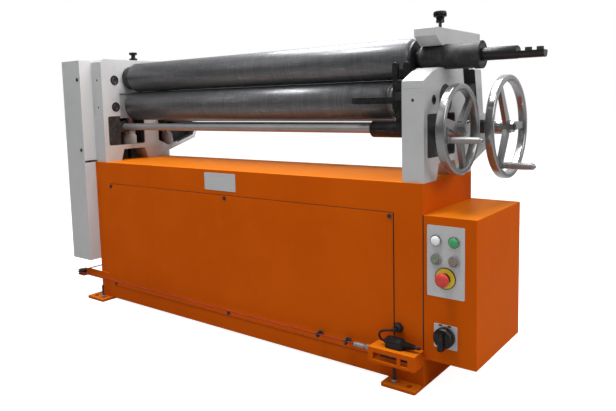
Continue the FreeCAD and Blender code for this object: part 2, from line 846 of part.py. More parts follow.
def bearing_cap():
    """The hinged bar that holds the sleeve down, with its fork over the frame's ear, its pin and knob."""
    x = (inner_face, base_right)
    points = [
        (cap_front, cap_low + cap_chamfer_height),
        (cap_front + cap_chamfer_width, cap_low),
        (hinge_y - hinge_eye_radius + 1, cap_low),
        (hinge_y - hinge_eye_radius + 1, hinge_z),
        (hinge_y, hinge_z - hinge_eye_radius + 1),
        (cap_back, hinge_z),
        (cap_back, cap_high),
        (cap_front, cap_high),
    ]
    cap = plate(points, *x, "x")
    cap = rounded(cap, 3, X, lambda p: p.z > cap_high - 1)
    seat = bar((x[0] - 1, upper_roll_y, upper_z), sleeve_radius + running, frame_thickness + 2, X)
    gap = hinge_tongue / 2 + sliding
    room = block(
        (frame_middle - gap, frame_middle + gap),
        (hinge_y - hinge_eye_radius - 3, hinge_y + hinge_eye_radius + 3),
        (hinge_z - hinge_eye_radius - 5, hinge_z + hinge_eye_radius + hinge_fork_room),
    )
    hole = bar((x[0] - 1, hinge_y, hinge_z), hinge_pin_radius + running, frame_thickness + 2, X)
    stud_hole = bar((frame_middle, cap_knob_y, cap_low - 1), knob_stud_radius + running, cap_height + 2, Z)
    keep("bearing_cap", cut(cap, seat, room, hole, stud_hole))
    keep("cap_hinge_pin", bar((inner_face - 2, hinge_y, hinge_z), hinge_pin_radius, frame_thickness + 4, X))
    reach = cap_height - 6
    neck_top = knob_stud_rise + knob_neck_height
    profile = [
        (0, -reach),
        (knob_stud_radius, -reach),
        (knob_stud_radius, knob_stud_rise),
        (knob_neck_radius, knob_stud_rise),
        (knob_neck_radius, neck_top),
        (knob_radius, neck_top),
        (knob_radius, neck_top + knob_height),
        (0, neck_top + knob_height),
    ]
    keep("cap_knob", turned(profile, (frame_middle, cap_knob_y, cap_high), Z))


def left_knob():
    """The black spool knob of the lubricator on top of the left frame."""
    place = (-frame_middle + left_knob_offset, frame_front + left_knob_set, base_top + frame_left_height)
    wide, waist = left_knob_radius, left_knob_radius / 2
    profile = [(0, 0), (wide, 0), (wide, 9), (waist, 11), (waist, 22), (wide, 24), (wide, 35), (0, 35)]
    keep("left_top_knob", turned(profile, place, Z))


def lower_roll():
    """The lower pinch roll with its journals, and the shaft end that carries its gear."""
    y, z = lower_roll_y, lower_z
    body = barrel(lower_barrel_left, barrel_half, (y, z), barrel_half - wire_groove_inset)
    right = bar((barrel_half, y, z), lower_journal_radius, base_right - barrel_half - 2, X)
    left = bar((lower_barrel_left, y, z), lower_journal_radius, gear_left - lower_barrel_left - 2, X)
    keep("lower_roll", fuse(body, right, left))


def lower_carriage():
    """Bearing blocks of the lower roll in the frame guides, and the screws that lift them."""
    y, z = lower_roll_y, lower_z
    half = lower_block_half_width
    low = z - lower_block_height / 2
    block_x = (inner_face + 2, base_right - outer_wall - 1)
    body = block(block_x, (y - half, y + half), (low, z + lower_block_height / 2))
    boss = bar((block_x[1] - 1, y, z), lower_boss_radius, base_right - block_x[1], X)
    bore = bar((inner_face, y, z), lower_journal_radius + running, frame_thickness + 1, X)
    right = cut(fuse(body, boss), bore)
    screw_end = window_floor + 10
    screw = bar((frame_middle, front_screw_y, screw_end), front_screw_radius, low - screw_end, Z)
    keep("lower_roll_carriage", mirrored(right), right, mirrored(screw), screw)


def rear_roll():
    """The rear bending roll, which idles."""
    y, z = slide_point(0)
    body = barrel(-barrel_half, barrel_half, (y, z), barrel_half - wire_groove_inset)
    journals = bar((-base_right + 4, y, z), rear_journal_radius, base_length - 8, X)
    keep("rear_roll", fuse(body, journals))


def rear_carriage():
    """Bearing blocks of the rear roll in the sloping slots, and the screws that push them up."""
    y, z = slide_point(0)
    high = rear_block_half_height
    half = rear_block_half_width
    body = slide_block((inner_face + 2, base_right - 2), (-high, high), (-half, half))
    right = body.cut(bar((inner_face, y, z), rear_journal_radius + running, frame_thickness, X))
    screw_end = rear_pad_level + 4
    screw = slide_bar(rear_boss_x, screw_end, rear_screw_radius, -high - screw_end)
    keep("rear_roll_carriage", mirrored(right), right, mirrored(screw), screw)


# --- Lifting gear -----------------------------------------------------------------------------------------


def castle_boss(radius, bore, height):
    """A thrust housing with a crown of slots, standing on its seat at the origin."""
    neck = radius - 5
    profile = [(bore, 0), (radius, 0), (radius, height * 0.62), (neck, height * 0.66), (neck, height)]
    body = turned([*profile, (bore, height)], (0, 0, 0), Z)
    slots = []
    for i in range(6):
        slot = block((0, radius + 1), (-3, 3), (height * 0.78, height + 1))
        slot.rotate(vec(0, 0, 0), Z, 60 * i + 15)
        slots.append(slot)
    return cut(body, *slots)


def worm_wheel(radius, bore, hub_drop):
    """A worm wheel centred on the origin, with straight teeth and a hub that stands on the thrust housing."""
    rim = ring((0, 0, -wheel_half_height), radius, bore, 2 * wheel_half_height, Z)
    gaps = []
    for i in range(worm_wheel_teeth):
        gap = block((radius - 3, radius + 1), (-1.6, 1.6), (-wheel_half_height - 1, wheel_half_height + 1))
        gap.rotate(vec(0, 0, 0), Z, 360 / worm_wheel_teeth * i)
        gaps.append(gap)
    wheel = rim.cut(Part.makeCompound(gaps))
    if hub_drop > 0:
        wheel = fuse(wheel, ring((0, 0, -wheel_half_height - hub_drop), radius - 6, bore, hub_drop + 1, Z))
    return wheel


def placed(shape, x, point, tilt=0.0):
    """A piece drawn about the origin, moved to its place and leaned back along the rear slide."""
    copy = shape.copy()
    copy.Placement = FreeCAD.Placement(vec(x, *point), FreeCAD.Rotation(X, math.degrees(tilt)))
    return copy


def lifting_gear():
    """Thrust housings and worm wheels under the four lift screws."""
    front_boss = castle_boss(jack_boss_radius, front_screw_radius + running, jack_boss_height)
    front_place = (front_screw_y, window_floor)
    fronts = [placed(front_boss, side * frame_middle, front_place) for side in (-1, 1)]
    rear_height = rear_shaft_along - wheel_half_height - seat_gap - rear_pad_level
    rear_boss = castle_boss(rear_boss_radius, rear_screw_radius + running, rear_height)
    rear_place = slide_point(rear_pad_level)
    rears = [placed(rear_boss, side * rear_boss_x, rear_place, rear_slope) for side in (-1, 1)]
    keep("thrust_housings", *fronts, *rears)
    hub_drop = front_shaft_z - wheel_half_height - window_floor - jack_boss_height - seat_gap
    front_gear = worm_wheel(front_wheel_gear, front_screw_radius + running, hub_drop)
    rear_gear = worm_wheel(rear_wheel_gear, rear_screw_radius + running, 0)
    front_centre = (front_screw_y, front_shaft_z)
    rear_centre = slide_point(rear_shaft_along)
    for name, side in (("left", -1), ("right", 1)):
        keep(f"front_worm_wheel_{name}", placed(front_gear, side * frame_middle, front_centre))
        keep(f"rear_worm_wheel_{name}", placed(rear_gear, side * rear_boss_x, rear_centre, rear_slope))


def worm(x, y, z):
    """A worm as a row of rings at its tooth pitch, on the shaft."""
    grooves = []
    count = 5
    pitch = worm_length / (count + 1)
    body = bar((x - worm_length / 2, y, z), worm_radius, worm_length, X)
    for i in range(count):
        at = x - worm_length / 2 + (i + 1) * pitch
        grooves.append(ring((at - 1.2, y, z), worm_radius + 1, shaft_radius, 2.4, X))
    return cut(body, *grooves)


def worm_brackets():
    """Dark brackets in the front windows, which carry the front shaft each side of its worms."""
    y, z = front_shaft_y, front_shaft_z
    x = (inner_face + 2, base_right - 2)
    lug_back = front_screw_y - front_wheel_gear - 0.6
    post_back = lower_roll_y - lower_block_half_width - guide_clearance - 2
    post = block(x, (window_front, post_back), (window_floor, window_ceiling))
    post = rounded(post, window_corner, X, lambda p: p.y < window_front + 1)
    lug = block(x, (post_back - 1, lug_back), (z - 22, z + 22))
    room = block(
        (frame_middle - worm_length / 2 - 1, frame_middle + worm_length / 2 + 1),
        (y - worm_radius - 2, lug_back + 1),
        (z - 30, z + 30),
    )
    bore = bar((inner_face, y, z), shaft_radius + running, frame_thickness, X)
    right = cut(fuse(post, lug), room, bore)
    keep("shaft_brackets", mirrored(right), right, clutch_bracket())


def adjusting_shafts():
    """The front shaft in two halves joined by the clutch, and the rear shaft in one."""
    y, z = front_shaft_y, front_shaft_z
    left = fuse(
        bar((-base_right + 4, y, z), shaft_radius, base_right - 4 + clutch_hub_left - dog_length - 2, X),
        worm(-frame_middle, y, z),
    )
    keep("front_shaft_left", left)
    wheel_end = front_wheel_x + hub_front
    right = fuse(
        bar((clutch_hub_left, y, z), shaft_radius, wheel_end - clutch_hub_left, X),
        bar((wheel_end - 1, y, z), thread_radius, wheel_nut_height + 4, X),
        worm(frame_middle, y, z),
        bar((clutch_hub_left, y, z), clutch_radius, clutch_hub_right - clutch_hub_left, X),
        clutch_dog(dog_width, dog_length),
    )
    keep("front_shaft_right", right)
    y, z = rear_shaft_y, rear_shaft_z
    wheel_end = rear_wheel_x + hub_front
    rear = fuse(
        bar((-base_right + 2, y, z), shaft_radius, base_right - 2 + wheel_end, X),
        bar((wheel_end - 1, y, z), thread_radius, wheel_nut_height + 4, X),
        worm(-rear_boss_x, y, z),
        worm(rear_boss_x, y, z),
        bar((base_right + 1, y, z), shaft_radius + 8, rear_collar_length, X),
    )
    keep("rear_shaft", rear)


def clutch_dog(width, length):
    """The bar across the face of the fixed hub that drives the sleeve, or the room for it."""
    y, z = front_shaft_y, front_shaft_z
    reach = 2 * clutch_radius
    x = (clutch_hub_left - length, clutch_hub_left)
    bar_across = block(x, (y - width / 2, y + width / 2), (z - reach, z + reach))
    return bar_across.common(bar((clutch_hub_left - length, y, z), clutch_radius, length, X))


def clutch():
    """The sliding clutch sleeve, the shifter post that moves it, its lever, pivot and bracket."""
    y, z = front_shaft_y, front_shaft_z
    sleeve = turned(
        [
            (shaft_radius + running, 0),
            (clutch_radius - 5, 0),
            (clutch_radius, 5),
            (clutch_radius, clutch_length),
            (shaft_radius + running, clutch_length),
        ],
        (clutch_left, y, z),
        X,
    )
    groove_start = groove_x - groove_width / 2
    groove = ring((groove_start, y, z), clutch_radius + 1, clutch_radius - groove_depth, groove_width, X)
    screw_hole = bar((clutch_left + 40, y, z), 4, -clutch_radius - 1, Y)
    screw = bar((clutch_left + 40, y - shaft_radius - 1, z), 4, -clutch_radius + shaft_radius + 3, Y)
    room = clutch_dog(dog_width + 2 * seat_gap, dog_length + seat_gap)
    keep("clutch_sleeve", cut(sleeve, groove, screw_hole, room), screw)
    pivot = fork_pivot_z
    top = pivot + fork_rise
    tail = fork_tail_width / 2
    points = [
        (fork_left, top),
        (fork_left, pivot - 38),
        (groove_x - tail, pivot - 50),
        (groove_x - tail, z - 8),
        (groove_x + tail, z - 8),
        (groove_x + tail, pivot - 50),
        (fork_right, pivot - 38),
        (fork_right, top),
    ]
    post = plate(points, fork_y, fork_y + fork_thickness, "y")
    post = rounded(post, 12, Y, lambda p: p.z > top - 1)
    middle = (fork_left + fork_right) / 2
    mouth = block((middle - 9, middle + 9), (fork_y - 1, fork_y + fork_thickness + 1), (top - 42, top + 1))
    peg_end = y - clutch_radius + groove_depth - 1
    peg_start = fork_y + fork_thickness - 1
    peg = bar((groove_x, peg_start, z), groove_width / 2 - seat_gap, peg_end - peg_start, Y)
    pivot_hole = bar((fork_pivot_x, fork_y - 1, pivot), fork_pin_radius + running, fork_thickness + 2, Y)
    lever_top = pivot - lever_drop + lever_height / 2
    lever_z = (lever_top - lever_height, lever_top)
    lever = block((fork_left - lever_length, fork_left + 1), (fork_y, fork_y + fork_thickness), lever_z)
    lever = rounded(lever, 6, Y, lambda p: p.x < fork_left - 1)
    keep("clutch_lever", cut(fuse(post, peg, lever), mouth, pivot_hole))


def clutch_bracket():
    """The arm on the frame's inner face with the pivot pin of the clutch lever."""
    pivot = fork_pivot_z
    arm = block((fork_pivot_x - 12, inner_face), (fork_y - 9, fork_y - sliding), (pivot - 12, pivot + 12))
    pin = bar((fork_pivot_x, fork_y - 9, pivot), fork_pin_radius, fork_thickness + 10, Y)
    head = bar((fork_pivot_x, fork_y - 12, pivot), fork_pin_radius + 3, 3, Y)
    return fuse(arm, pin, head)


def handwheel(centre, radius, first_spoke):
    """A cast handwheel with a thick rim, three flat tapering spokes and its hub behind the rim's plane."""
    x, y, z = centre
    rim = ring((x - rim_width / 2, y, z), radius, radius - rim_depth, rim_width, X)
    rim = rim.makeFillet(rim_corner, [edge for edge in rim.Edges if isinstance(edge.Curve, Part.Circle)])
    profile = [
        (shaft_radius, -hub_back),
        (hub_radius + 4, -hub_back),
        (hub_radius + 4, -hub_back / 2),
        (hub_radius, 0),
        (hub_radius, hub_front),
        (shaft_radius, hub_front),
    ]
    hub = turned(profile, (x, y, z), X)
    half = spoke_thickness / 2
    spoke_end = radius - rim_depth / 2
    spokes = []
    for i in range(3):
        angle = first_spoke + math.radians(120 * i)
        along, across = (math.cos(angle), math.sin(angle)), (-math.sin(angle), math.cos(angle))
        corners = []
        for reach, width in (
            (hub_radius - 2, spoke_root_width),
            (spoke_end, spoke_width),
            (spoke_end, -spoke_width),
            (hub_radius - 2, -spoke_root_width),
        ):
            side = width / 2
            corners.append((y + reach * along[0] + side * across[0], z + reach * along[1] + side * across[1]))
        spokes.append(plate(corners, x - half, x + half, "x"))
    bore = bar((x - hub_back - 1, y, z), shaft_radius, hub_back + hub_front + 2, X)
    return fuse(rim, hub, *spokes).cut(bore)


def handwheels():
    """Both handwheels with their nuts and revolving handles."""
    front = (front_wheel_x, front_shaft_y, front_shaft_z)
    rear = (rear_wheel_x, rear_shaft_y, rear_shaft_z)
    front_sizes = (front_wheel_radius, front_spoke_angle, front_handle_angle, front_handle_reach)
    rear_sizes = (rear_wheel_radius, rear_spoke_angle, rear_handle_angle, rear_handle_reach)
    sets = (
        ("front", front, front_sizes, front_handle_radius),
        ("rear", rear, rear_sizes, rear_handle_radius),
    )
    for name, centre, (radius, spoke, angle, reach), handle_radius in sets:
        x, y, z = centre
        face = x + rim_width / 2
        hy = y + reach * math.cos(angle)
        hz = z + reach * math.sin(angle)
        arm_direction = vec(0, math.cos(angle), math.sin(angle))
        boss_radius = handle_pin_radius + 6
        arm = Part.makeCylinder(
            rim_width / 3, radius - rim_depth / 2 - reach, vec(x, hy, hz), arm_direction
        )
        shoulder = bar((x - rim_width / 3, hy, hz), boss_radius, face - x + rim_width / 3 - seat_gap, X)
        pin = bar((x, hy, hz), handle_pin_radius, face - x + handle_length + 2, X)
        wheel = fuse(handwheel(centre, radius, spoke), arm, shoulder, pin)
        nut = hexagon((x + hub_front, y, z), wheel_nut_flats, wheel_nut_height, X)
        nut = nut.cut(bar((x, y, z), thread_radius, hub_front + wheel_nut_height + 1, X))
        keep(f"{name}_handwheel", wheel, nut)
        profile = [
            (handle_pin_radius + running, 0),
            (handle_radius - 2, 0),
            (handle_radius, 6),
            (handle_radius, handle_length - 4),
            (handle_radius - 2, handle_length),
            (handle_pin_radius + running, handle_length),
        ]
        keep(f"{name}_handle", turned(profile, (face, hy, hz), X))


# --- Drive ------------------------------------------------------------------------------------------------


def gear_points(teeth, module, first_angle):
    """The outline of a spur gear with straight flanks that thin towards the tip."""
    pitch_radius = teeth * module / 2
    tip, root = pitch_radius + module * 0.95, pitch_radius - module * 1.25
    step = 2 * math.pi / teeth
    flank = [(root, 0.30), (pitch_radius, 0.225), (tip, 0.12)]
    shape = [(radius, -share) for radius, share in flank] + flank[::-1]
    points = []
    for i in range(teeth):
        for radius, share in shape:
            angle = first_angle + step * (i + share)
            points.append((radius * math.cos(angle), radius * math.sin(angle)))
    return points


def spur_gear(centre, bore, first_angle):
    """A roll gear between the left frame and the sprocket."""
    y, z = centre
    points = [(y + a, z + b) for a, b in gear_points(gear_teeth, gear_module, first_angle)]
    hole = bar((gear_left - 1, y, z), bore, gear_width + 2, X)
    return plate(points, gear_left, gear_right, "x").cut(hole)


def sprocket(centre, radius, bore):
    """A chain sprocket with round gaps for the rollers."""
    y, z = centre
    count = round(2 * math.pi * radius / chain_pitch)
    body = ring((sprocket_right - sprocket_width, y, z), radius, bore, sprocket_width, X)
    gaps = []
    start = sprocket_right - sprocket_width - 1
    for i in range(count):
        angle = 2 * math.pi * i / count
        place = (start, y + radius * math.cos(angle), z + radius * math.sin(angle))
        gaps.append(bar(place, 4.5, sprocket_width + 2, X))
    return body.cut(Part.makeCompound(gaps))


def drive():
    """Roll gears, the stub shaft, sprockets and chain, the reducer and the motor."""
    upper = (upper_roll_y, upper_z)
    lower = (lower_roll_y, lower_z)
    heading = math.atan2(lower[1] - upper[1], lower[0] - upper[0])
    half_tooth = math.pi / gear_teeth
    gear = spur_gear(upper, stub_radius + running, heading)
    hub = ring((gear_right - 1, *upper), gear_hub_radius, stub_radius + running, 1 + 12, X)
    hub_room = bar((gear_right - 5, *upper), stub_radius + running, 30, X)
    slot_z = (upper[1] - gear_hub_radius - 10, upper[1] + gear_hub_radius + 10)
    slot = block((gear_right - 6, gear_right + 20), (upper[0] - 14, upper[0] + 14), slot_z)
    driven = sprocket(upper, upper_sprocket_radius, stub_radius + running)
    collar_length = gear_left - sprocket_right + 2
    collar = ring((sprocket_right - 1, *upper), gear_hub_radius, stub_radius + running, collar_length, X)
    keep("upper_gear", cut(fuse(gear, hub, collar, driven), hub_room, slot))
    lower_gear = spur_gear(lower, lower_journal_radius, heading + math.pi + half_tooth)
    keep("lower_gear", lower_gear)
    stub_left = cover_left + cover_wall + 14
    stub = bar((stub_left, *upper), stub_radius, gear_right - 8 - stub_left, X)
    bridge_top = base_top + frame_left_height - 10
    bridge_y = (upper[0] - bridge_half_width, upper[0] + bridge_half_width)
    bridge = block((stub_left - 6, stub_left + 1), bridge_y, (upper[1] - 40, bridge_top))
    posts = []
    for side in (-1, 1):
        y = upper[0] + side * (bridge_half_width - bridge_post_radius - 1)
        start = (stub_left, y, bridge_top - bridge_post_radius - 1)
        posts.append(bar(start, bridge_post_radius, base_left - stub_left, X))
    keep("gear_bridge", fuse(stub, bridge, *posts))
    low_centre = (0.0, reducer_z)
    pinion = sprocket(low_centre, lower_sprocket_radius, output_radius - 1)
    keep("drive_chain", chain_loop(upper, low_centre))
    case_left = base_left + base_wall + reducer_set
    case_x = (case_left, case_left + reducer_length)
    shaft_start = sprocket_right - sprocket_width - 6
    shaft_length = case_left + reducer_shaft_depth - shaft_start - sprocket_width
    shaft = bar((shaft_start, *low_centre), output_radius, shaft_length, X)
    keep("reducer_shaft", fuse(shaft, pinion))
    stand_top = base_bottom + reducer_stand_height
    case = block(case_x, (-reducer_half_width, reducer_half_width), (stand_top, reducer_z + reducer_crown))
    case = rounded(case, 12, X)
    bore_depth = reducer_shaft_depth + reducer_bore_room
    case = case.cut(bar((case_left - 1, *low_centre), output_radius + running, bore_depth, X))
    stand_x = (case_x[0] - 20, case_x[1] + 20)
    stand_y = (-reducer_half_width - 15, reducer_half_width + 15)
    stand = shell(stand_x, stand_y, (base_bottom + base_wall, stand_top), 6, ("y", "-"))
    keep("reducer", case, stand)
    flange = motor_radius + 12
    cowl = motor_radius + 4
    profile = [
        (0, 0),
        (flange, 0),
        (flange, 12),
        (motor_radius, 14),
        (motor_radius, motor_length - 60),
        (cowl, motor_length - 60),
        (cowl, motor_length),
        (0, motor_length),
    ]
    motor = turned(profile, (case_x[1], 0, reducer_z), X)
    box_low_z = reducer_z + motor_radius - 6
    box_y = (-motor_box_half, motor_box_half)
    box_x = (case_x[1] + 60, case_x[1] + 60 + 2 * motor_box_half)
    box = block(box_x, box_y, (box_low_z, box_low_z + motor_box_height))
    keep("motor", fuse(motor, box))


def chain_loop(upper, lower):
    """The chain as one band that wraps both sprockets, with a little room over their teeth."""
    bands = []
    for extra in (chain_gap + chain_thickness, chain_gap):
        big = bar((0, *upper), upper_sprocket_radius + extra, 1, X)
        small = bar((0, *lower), lower_sprocket_radius + extra, 1, X)
        dy, dz = lower[0] - upper[0], lower[1] - upper[1]
        distance = math.hypot(dy, dz)
        lean = math.acos((upper_sprocket_radius - lower_sprocket_radius) / distance)
        heading = math.atan2(dz, dy)
        corners = []
        for sign in (1, -1):
            angle = heading + sign * lean
            pair = []
            for centre, radius in ((upper, upper_sprocket_radius), (lower, lower_sprocket_radius)):
                reach = radius + extra
                pair.append((centre[0] + reach * math.cos(angle), centre[1] + reach * math.sin(angle)))
            corners.extend(pair if sign > 0 else pair[::-1])
        bands.append(fuse(big, small, plate(corners, 0, 1, "x")))
    ring_face = bands[0].cut(bands[1])
    loop = ring_face.copy()
    matrix = FreeCAD.Matrix()
    matrix.scale(sprocket_width + 4, 1, 1)
    loop = loop.transformGeometry(matrix)
    loop.translate(vec(chain_x - sprocket_width / 2 - 2, 0, 0))
    return loop


def drive_cover():
    """The tall cover of the gears and chain, open below and towards the frame behind its two side flanges."""
    x = (cover_left, base_left - seat_gap)
    high = base_top + frame_left_height - 4
    cover = shell(x, (cover_front, cover_back), (cover_low, high), cover_wall, ("z", "-"))
    gate = block(
        (x[1] - cover_wall - 1, x[1] + 1),
        (cover_front + cover_flange, cover_back - cover_flange),
        (cover_low - 1, high - cover_wall),
    )
    slot = block(
        (x[1] - cover_wall - 1, x[1] + 1),
        (cover_front + cover_wall, cover_front + cover_flange + 1),
        (base_top, base_top + cover_slot),
    )
    cover = cut(cover, gate, slot)
    screws, brackets = [], []
    at = x[1] - cover_screw_set
    face = cover_front + cover_wall
    inside = x[1] - cover_wall
    for rise in cover_screw_rises:
        z = base_top + rise
        cover = cover.cut(bar((at, cover_front - 1, z), panel_screw_radius, cover_wall + 2, Y))
        screws.append(sheet_screw(at, cover_front, z, 12))
        height = (z - cover_pad_half, z + cover_pad_half)
        tab = block((at - 12, inside), (face, face + 4), height)
        arm = block((inside - 4, inside), (face, frame_front + 50), height)
        pad = block((inside - 4, base_left), (frame_front + 12, frame_front + 50), height)
        hole = bar((at, face - 1, z), panel_screw_radius, 6, Y)
        brackets.append(cut(fuse(tab, arm, pad), hole))
    keep("drive_cover", cover)
    keep("cover_brackets", *brackets)
    return screws


# --- Control box ------------------------------------------------------------------------------------------


def control_box():
    """The box on the right of the base, its switch plates and the contactors inside it."""
    x = (base_right, base_right + box_width)
    body = shell(x, (base_front, base_back), (box_low, box_high), box_wall, ("x", "-"))
    body = rounded(body, box_wall, Z, lambda p: p.x > x[1] - 1 and abs(p.y) > base_back - 1)
    holes = []
    for cx, cz in ((device_left, lamp_height), (device_right, lamp_height), (device_left, button_height)):
        holes.append((cx, cz, bezel_radius - 3))
    holes.append((device_right, button_height, bezel_radius - 3))
    holes.append((stop_x, stop_height, bezel_radius - 3))
    holes.append((switch_x, switch_height, 8))
    plate_x = (plate_left, plate_left + plate_width)
    plate_z = (plate_high - plate_height, plate_high)
    plate_body = block(plate_x, (base_front - 1.5, base_front), plate_z)
    plate_body = rounded(plate_body, 4, Y)
    for cx, cz, radius in holes:
        tool = bar((cx, base_front - 5, cz), radius, box_wall + 7, Y)
        body = body.cut(tool)
        plate_body = plate_body.cut(tool)
    keep("control_box", body)
    back = base_back - box_wall
    top = box_high - contactor_drop
    middle = top - contactor_height / 2
    rail_z = (middle - rail_height / 2, middle + rail_height / 2)
    rail = block((x[0] + 20, x[1] - 20), (back - 8, back), rail_z)
    gear = []
    for i in range(3):
        left = x[0] + 24 + (contactor_width + 4) * i
        depth = (back - 8 - contactor_depth, back - 8)
        gear.append(block((left, left + contactor_width), depth, (top - contactor_height, top)))
    keep("contactors", rail, *gear)
    return plate_body


def control_devices(button_plate):
    """Lamps, push buttons, the emergency stop, the main switch and the plates that they stand on."""
    face = base_front - 1.5
    stem = bezel_radius - 3.5
    lens = [
        (0, 40),
        (stem, 40),
        (stem, 0),
        (bezel_radius, 0),
        (bezel_radius, -bezel_depth),
        (stem - 2, -bezel_depth - 5),
        (0, -bezel_depth - 6),
    ]
    lamps = [turned(lens, (x, face, lamp_height), Y) for x in (device_left, device_right)]
    keep("indicator_lamps", *lamps)
    guide = button_radius + seat_gap
    bezel = [
        (guide, 30),
        (stem, 30),
        (stem, 0),
        (bezel_radius, 0),
        (bezel_radius, -bezel_depth),
        (guide, -bezel_depth),
    ]
    bezels = []
    for name, x in (("start_button", device_left), ("stop_button", device_right)):
        bezels.append(turned(bezel, (x, face, button_height), Y))
        keep(name, bar((x, face - bezel_depth - button_travel, button_height), button_radius, 24, Y))
    stop_backplate = ring((stop_x, face - 1.5, stop_height), stop_plate_radius, stem, 1.5, Y)
    stop_stem = 8
    guide = stop_stem + seat_gap
    collar = [
        (guide, 30),
        (stem, 30),
        (stem, -1.5),
        (bezel_radius, -1.5),
        (bezel_radius - 1, -stop_collar_length),
        (guide, -stop_collar_length),
    ]
    keep("button_bezels", *bezels, turned(collar, (stop_x, face, stop_height), Y))
    head_back = stop_collar_length + stop_travel + 1
    head = [
        (0, 20),
        (stop_stem, 20),
        (stop_stem, -head_back),
        (stop_cap_radius, -head_back),
        (stop_cap_radius, -head_back - 6),
        (stop_cap_radius - 8, -head_back - 12),
        (0, -head_back - 13),
    ]
    keep("stop_mushroom", turned(head, (stop_x, face, stop_height), Y))
    half = switch_plate_half
    plate_face = base_front - 2
    switch_z = (switch_height - half, switch_height + half)
    switch_plate = block((switch_x - half, switch_x + half), (plate_face, base_front), switch_z)
    stem_radius = 6
    stem_hole = bar((switch_x, plate_face - 1, switch_height), stem_radius + running, 4, Y)
    switch_plate = rounded(switch_plate, 3, Y).cut(stem_hole)
    keep("control_plates", button_plate, switch_plate, stop_backplate, name_plate())
    dial_back = plate_face - seat_gap
    dial_face = dial_back - switch_knob_depth
    dial = bar((switch_x, dial_back, switch_height), switch_knob_radius, -switch_knob_depth, Y)
    grip = block(
        (switch_x - 7, switch_x + 7),
        (dial_face - switch_grip_rise, dial_face + 2),
        (switch_height - switch_knob_radius - 2, switch_height + switch_knob_radius - 6),
    )
    stem_bar = bar((switch_x, dial_back - 1, switch_height), stem_radius, 22, Y)
    keep("main_switch_knob", fuse(dial, rounded(grip, 5, Y), stem_bar))


# --- Safety trip line -------------------------------------------------------------------------------------


def bent_tube(points, radius, bends):
    """A round cord through points, as straight runs joined by tangent arcs of given radii."""
    places = [vec(*point) for point in points]
    edges = []
    start = places[0]
    for i, bend in enumerate(bends, start=1):
        before = (places[i - 1] - places[i]).normalize()
        after = (places[i + 1] - places[i]).normalize()
        half = before.getAngle(after) / 2
        back = bend / math.tan(half)
        first = places[i] + before * back
        last = places[i] + after * back
        bisector = (before + after).normalize()
        middle = places[i] + bisector * (bend / math.sin(half) - bend)
        edges.append(Part.LineSegment(start, first).toShape())
        edges.append(Part.Arc(first, middle, last).toShape())
        start = last
    edges.append(Part.LineSegment(start, places[-1]).toShape())
    path = Part.Wire(edges)
    heading = (places[1] - places[0]).normalize()
    section = Part.Wire([Part.makeCircle(radius, places[0], heading)])
    return path.makePipeShell([section], True, True)


def lead_bends(points):
    """Arc radii of a lead: each is 0.45 of its shorter run over the tangent of half its turn."""
    radii = []
    for a, b, c in zip(points, points[1:], points[2:]):
        one, two = vec(*b) - vec(*a), vec(*c) - vec(*b)
        radii.append(0.45 * min(one.Length, two.Length) / math.tan(one.getAngle(two) / 2))
    return radii


def trip_line():
    """The red line from the turnbuckle along the front, round the corner roller and back along the left."""
    start = (bracket_left - 51, line_y, line_height)
    corner = (line_left - roller_radius - line_radius, line_y, line_height)
    end = (corner[0], line_back, line_height)
    keep("trip_line", bent_tube([start, corner, end], line_radius, [roller_radius + line_radius]))
    roller_centre = (line_left, line_y + roller_radius + line_radius, line_height)
    profile = [
        (3 + running, -roller_half_height),
        (roller_radius + 4, -roller_half_height),
        (roller_radius - 0.3, -line_radius - 0.6),
        (roller_radius - 0.3, line_radius + 0.6),
        (roller_radius + 4, roller_half_height),
        (3 + running, roller_half_height),
    ]
    keep("corner_roller", turned(profile, roller_centre, Z))
    low = line_height - roller_half_height - 5
    x, y = roller_centre[:2]
    arm = fuse(
        block((x - 13, x + 30), (y - 13, base_front), (low, low + 4)),
        block((x + 26, base_left + arm_foot_length), (base_front - 4, base_front), (low, low + 30)),
        bar((x, y, low), 3, 2 * roller_half_height + 9, Z),
    )
    height = (line_height - 12, line_height + 12)
    rear_arm = fuse(
        block((corner[0] - 12, base_left), (line_back, line_back + 4), height),
        block((base_left - 4, base_left), (base_back - arm_foot_length, line_back + 4), height),
    )
    panel_face = base_front - panel_thickness
    eyes = []
    for place in [base_right - inset for inset in line_eye_insets]:
        loop = Part.makeTorus(8, 2.2, vec(place, line_y, line_height), X)
        eyes.append(fuse(loop, bar((place, line_y + 7, line_height), 2.6, panel_face - line_y - 7, Y)))
    keep("line_guides", arm, rear_arm, *eyes)


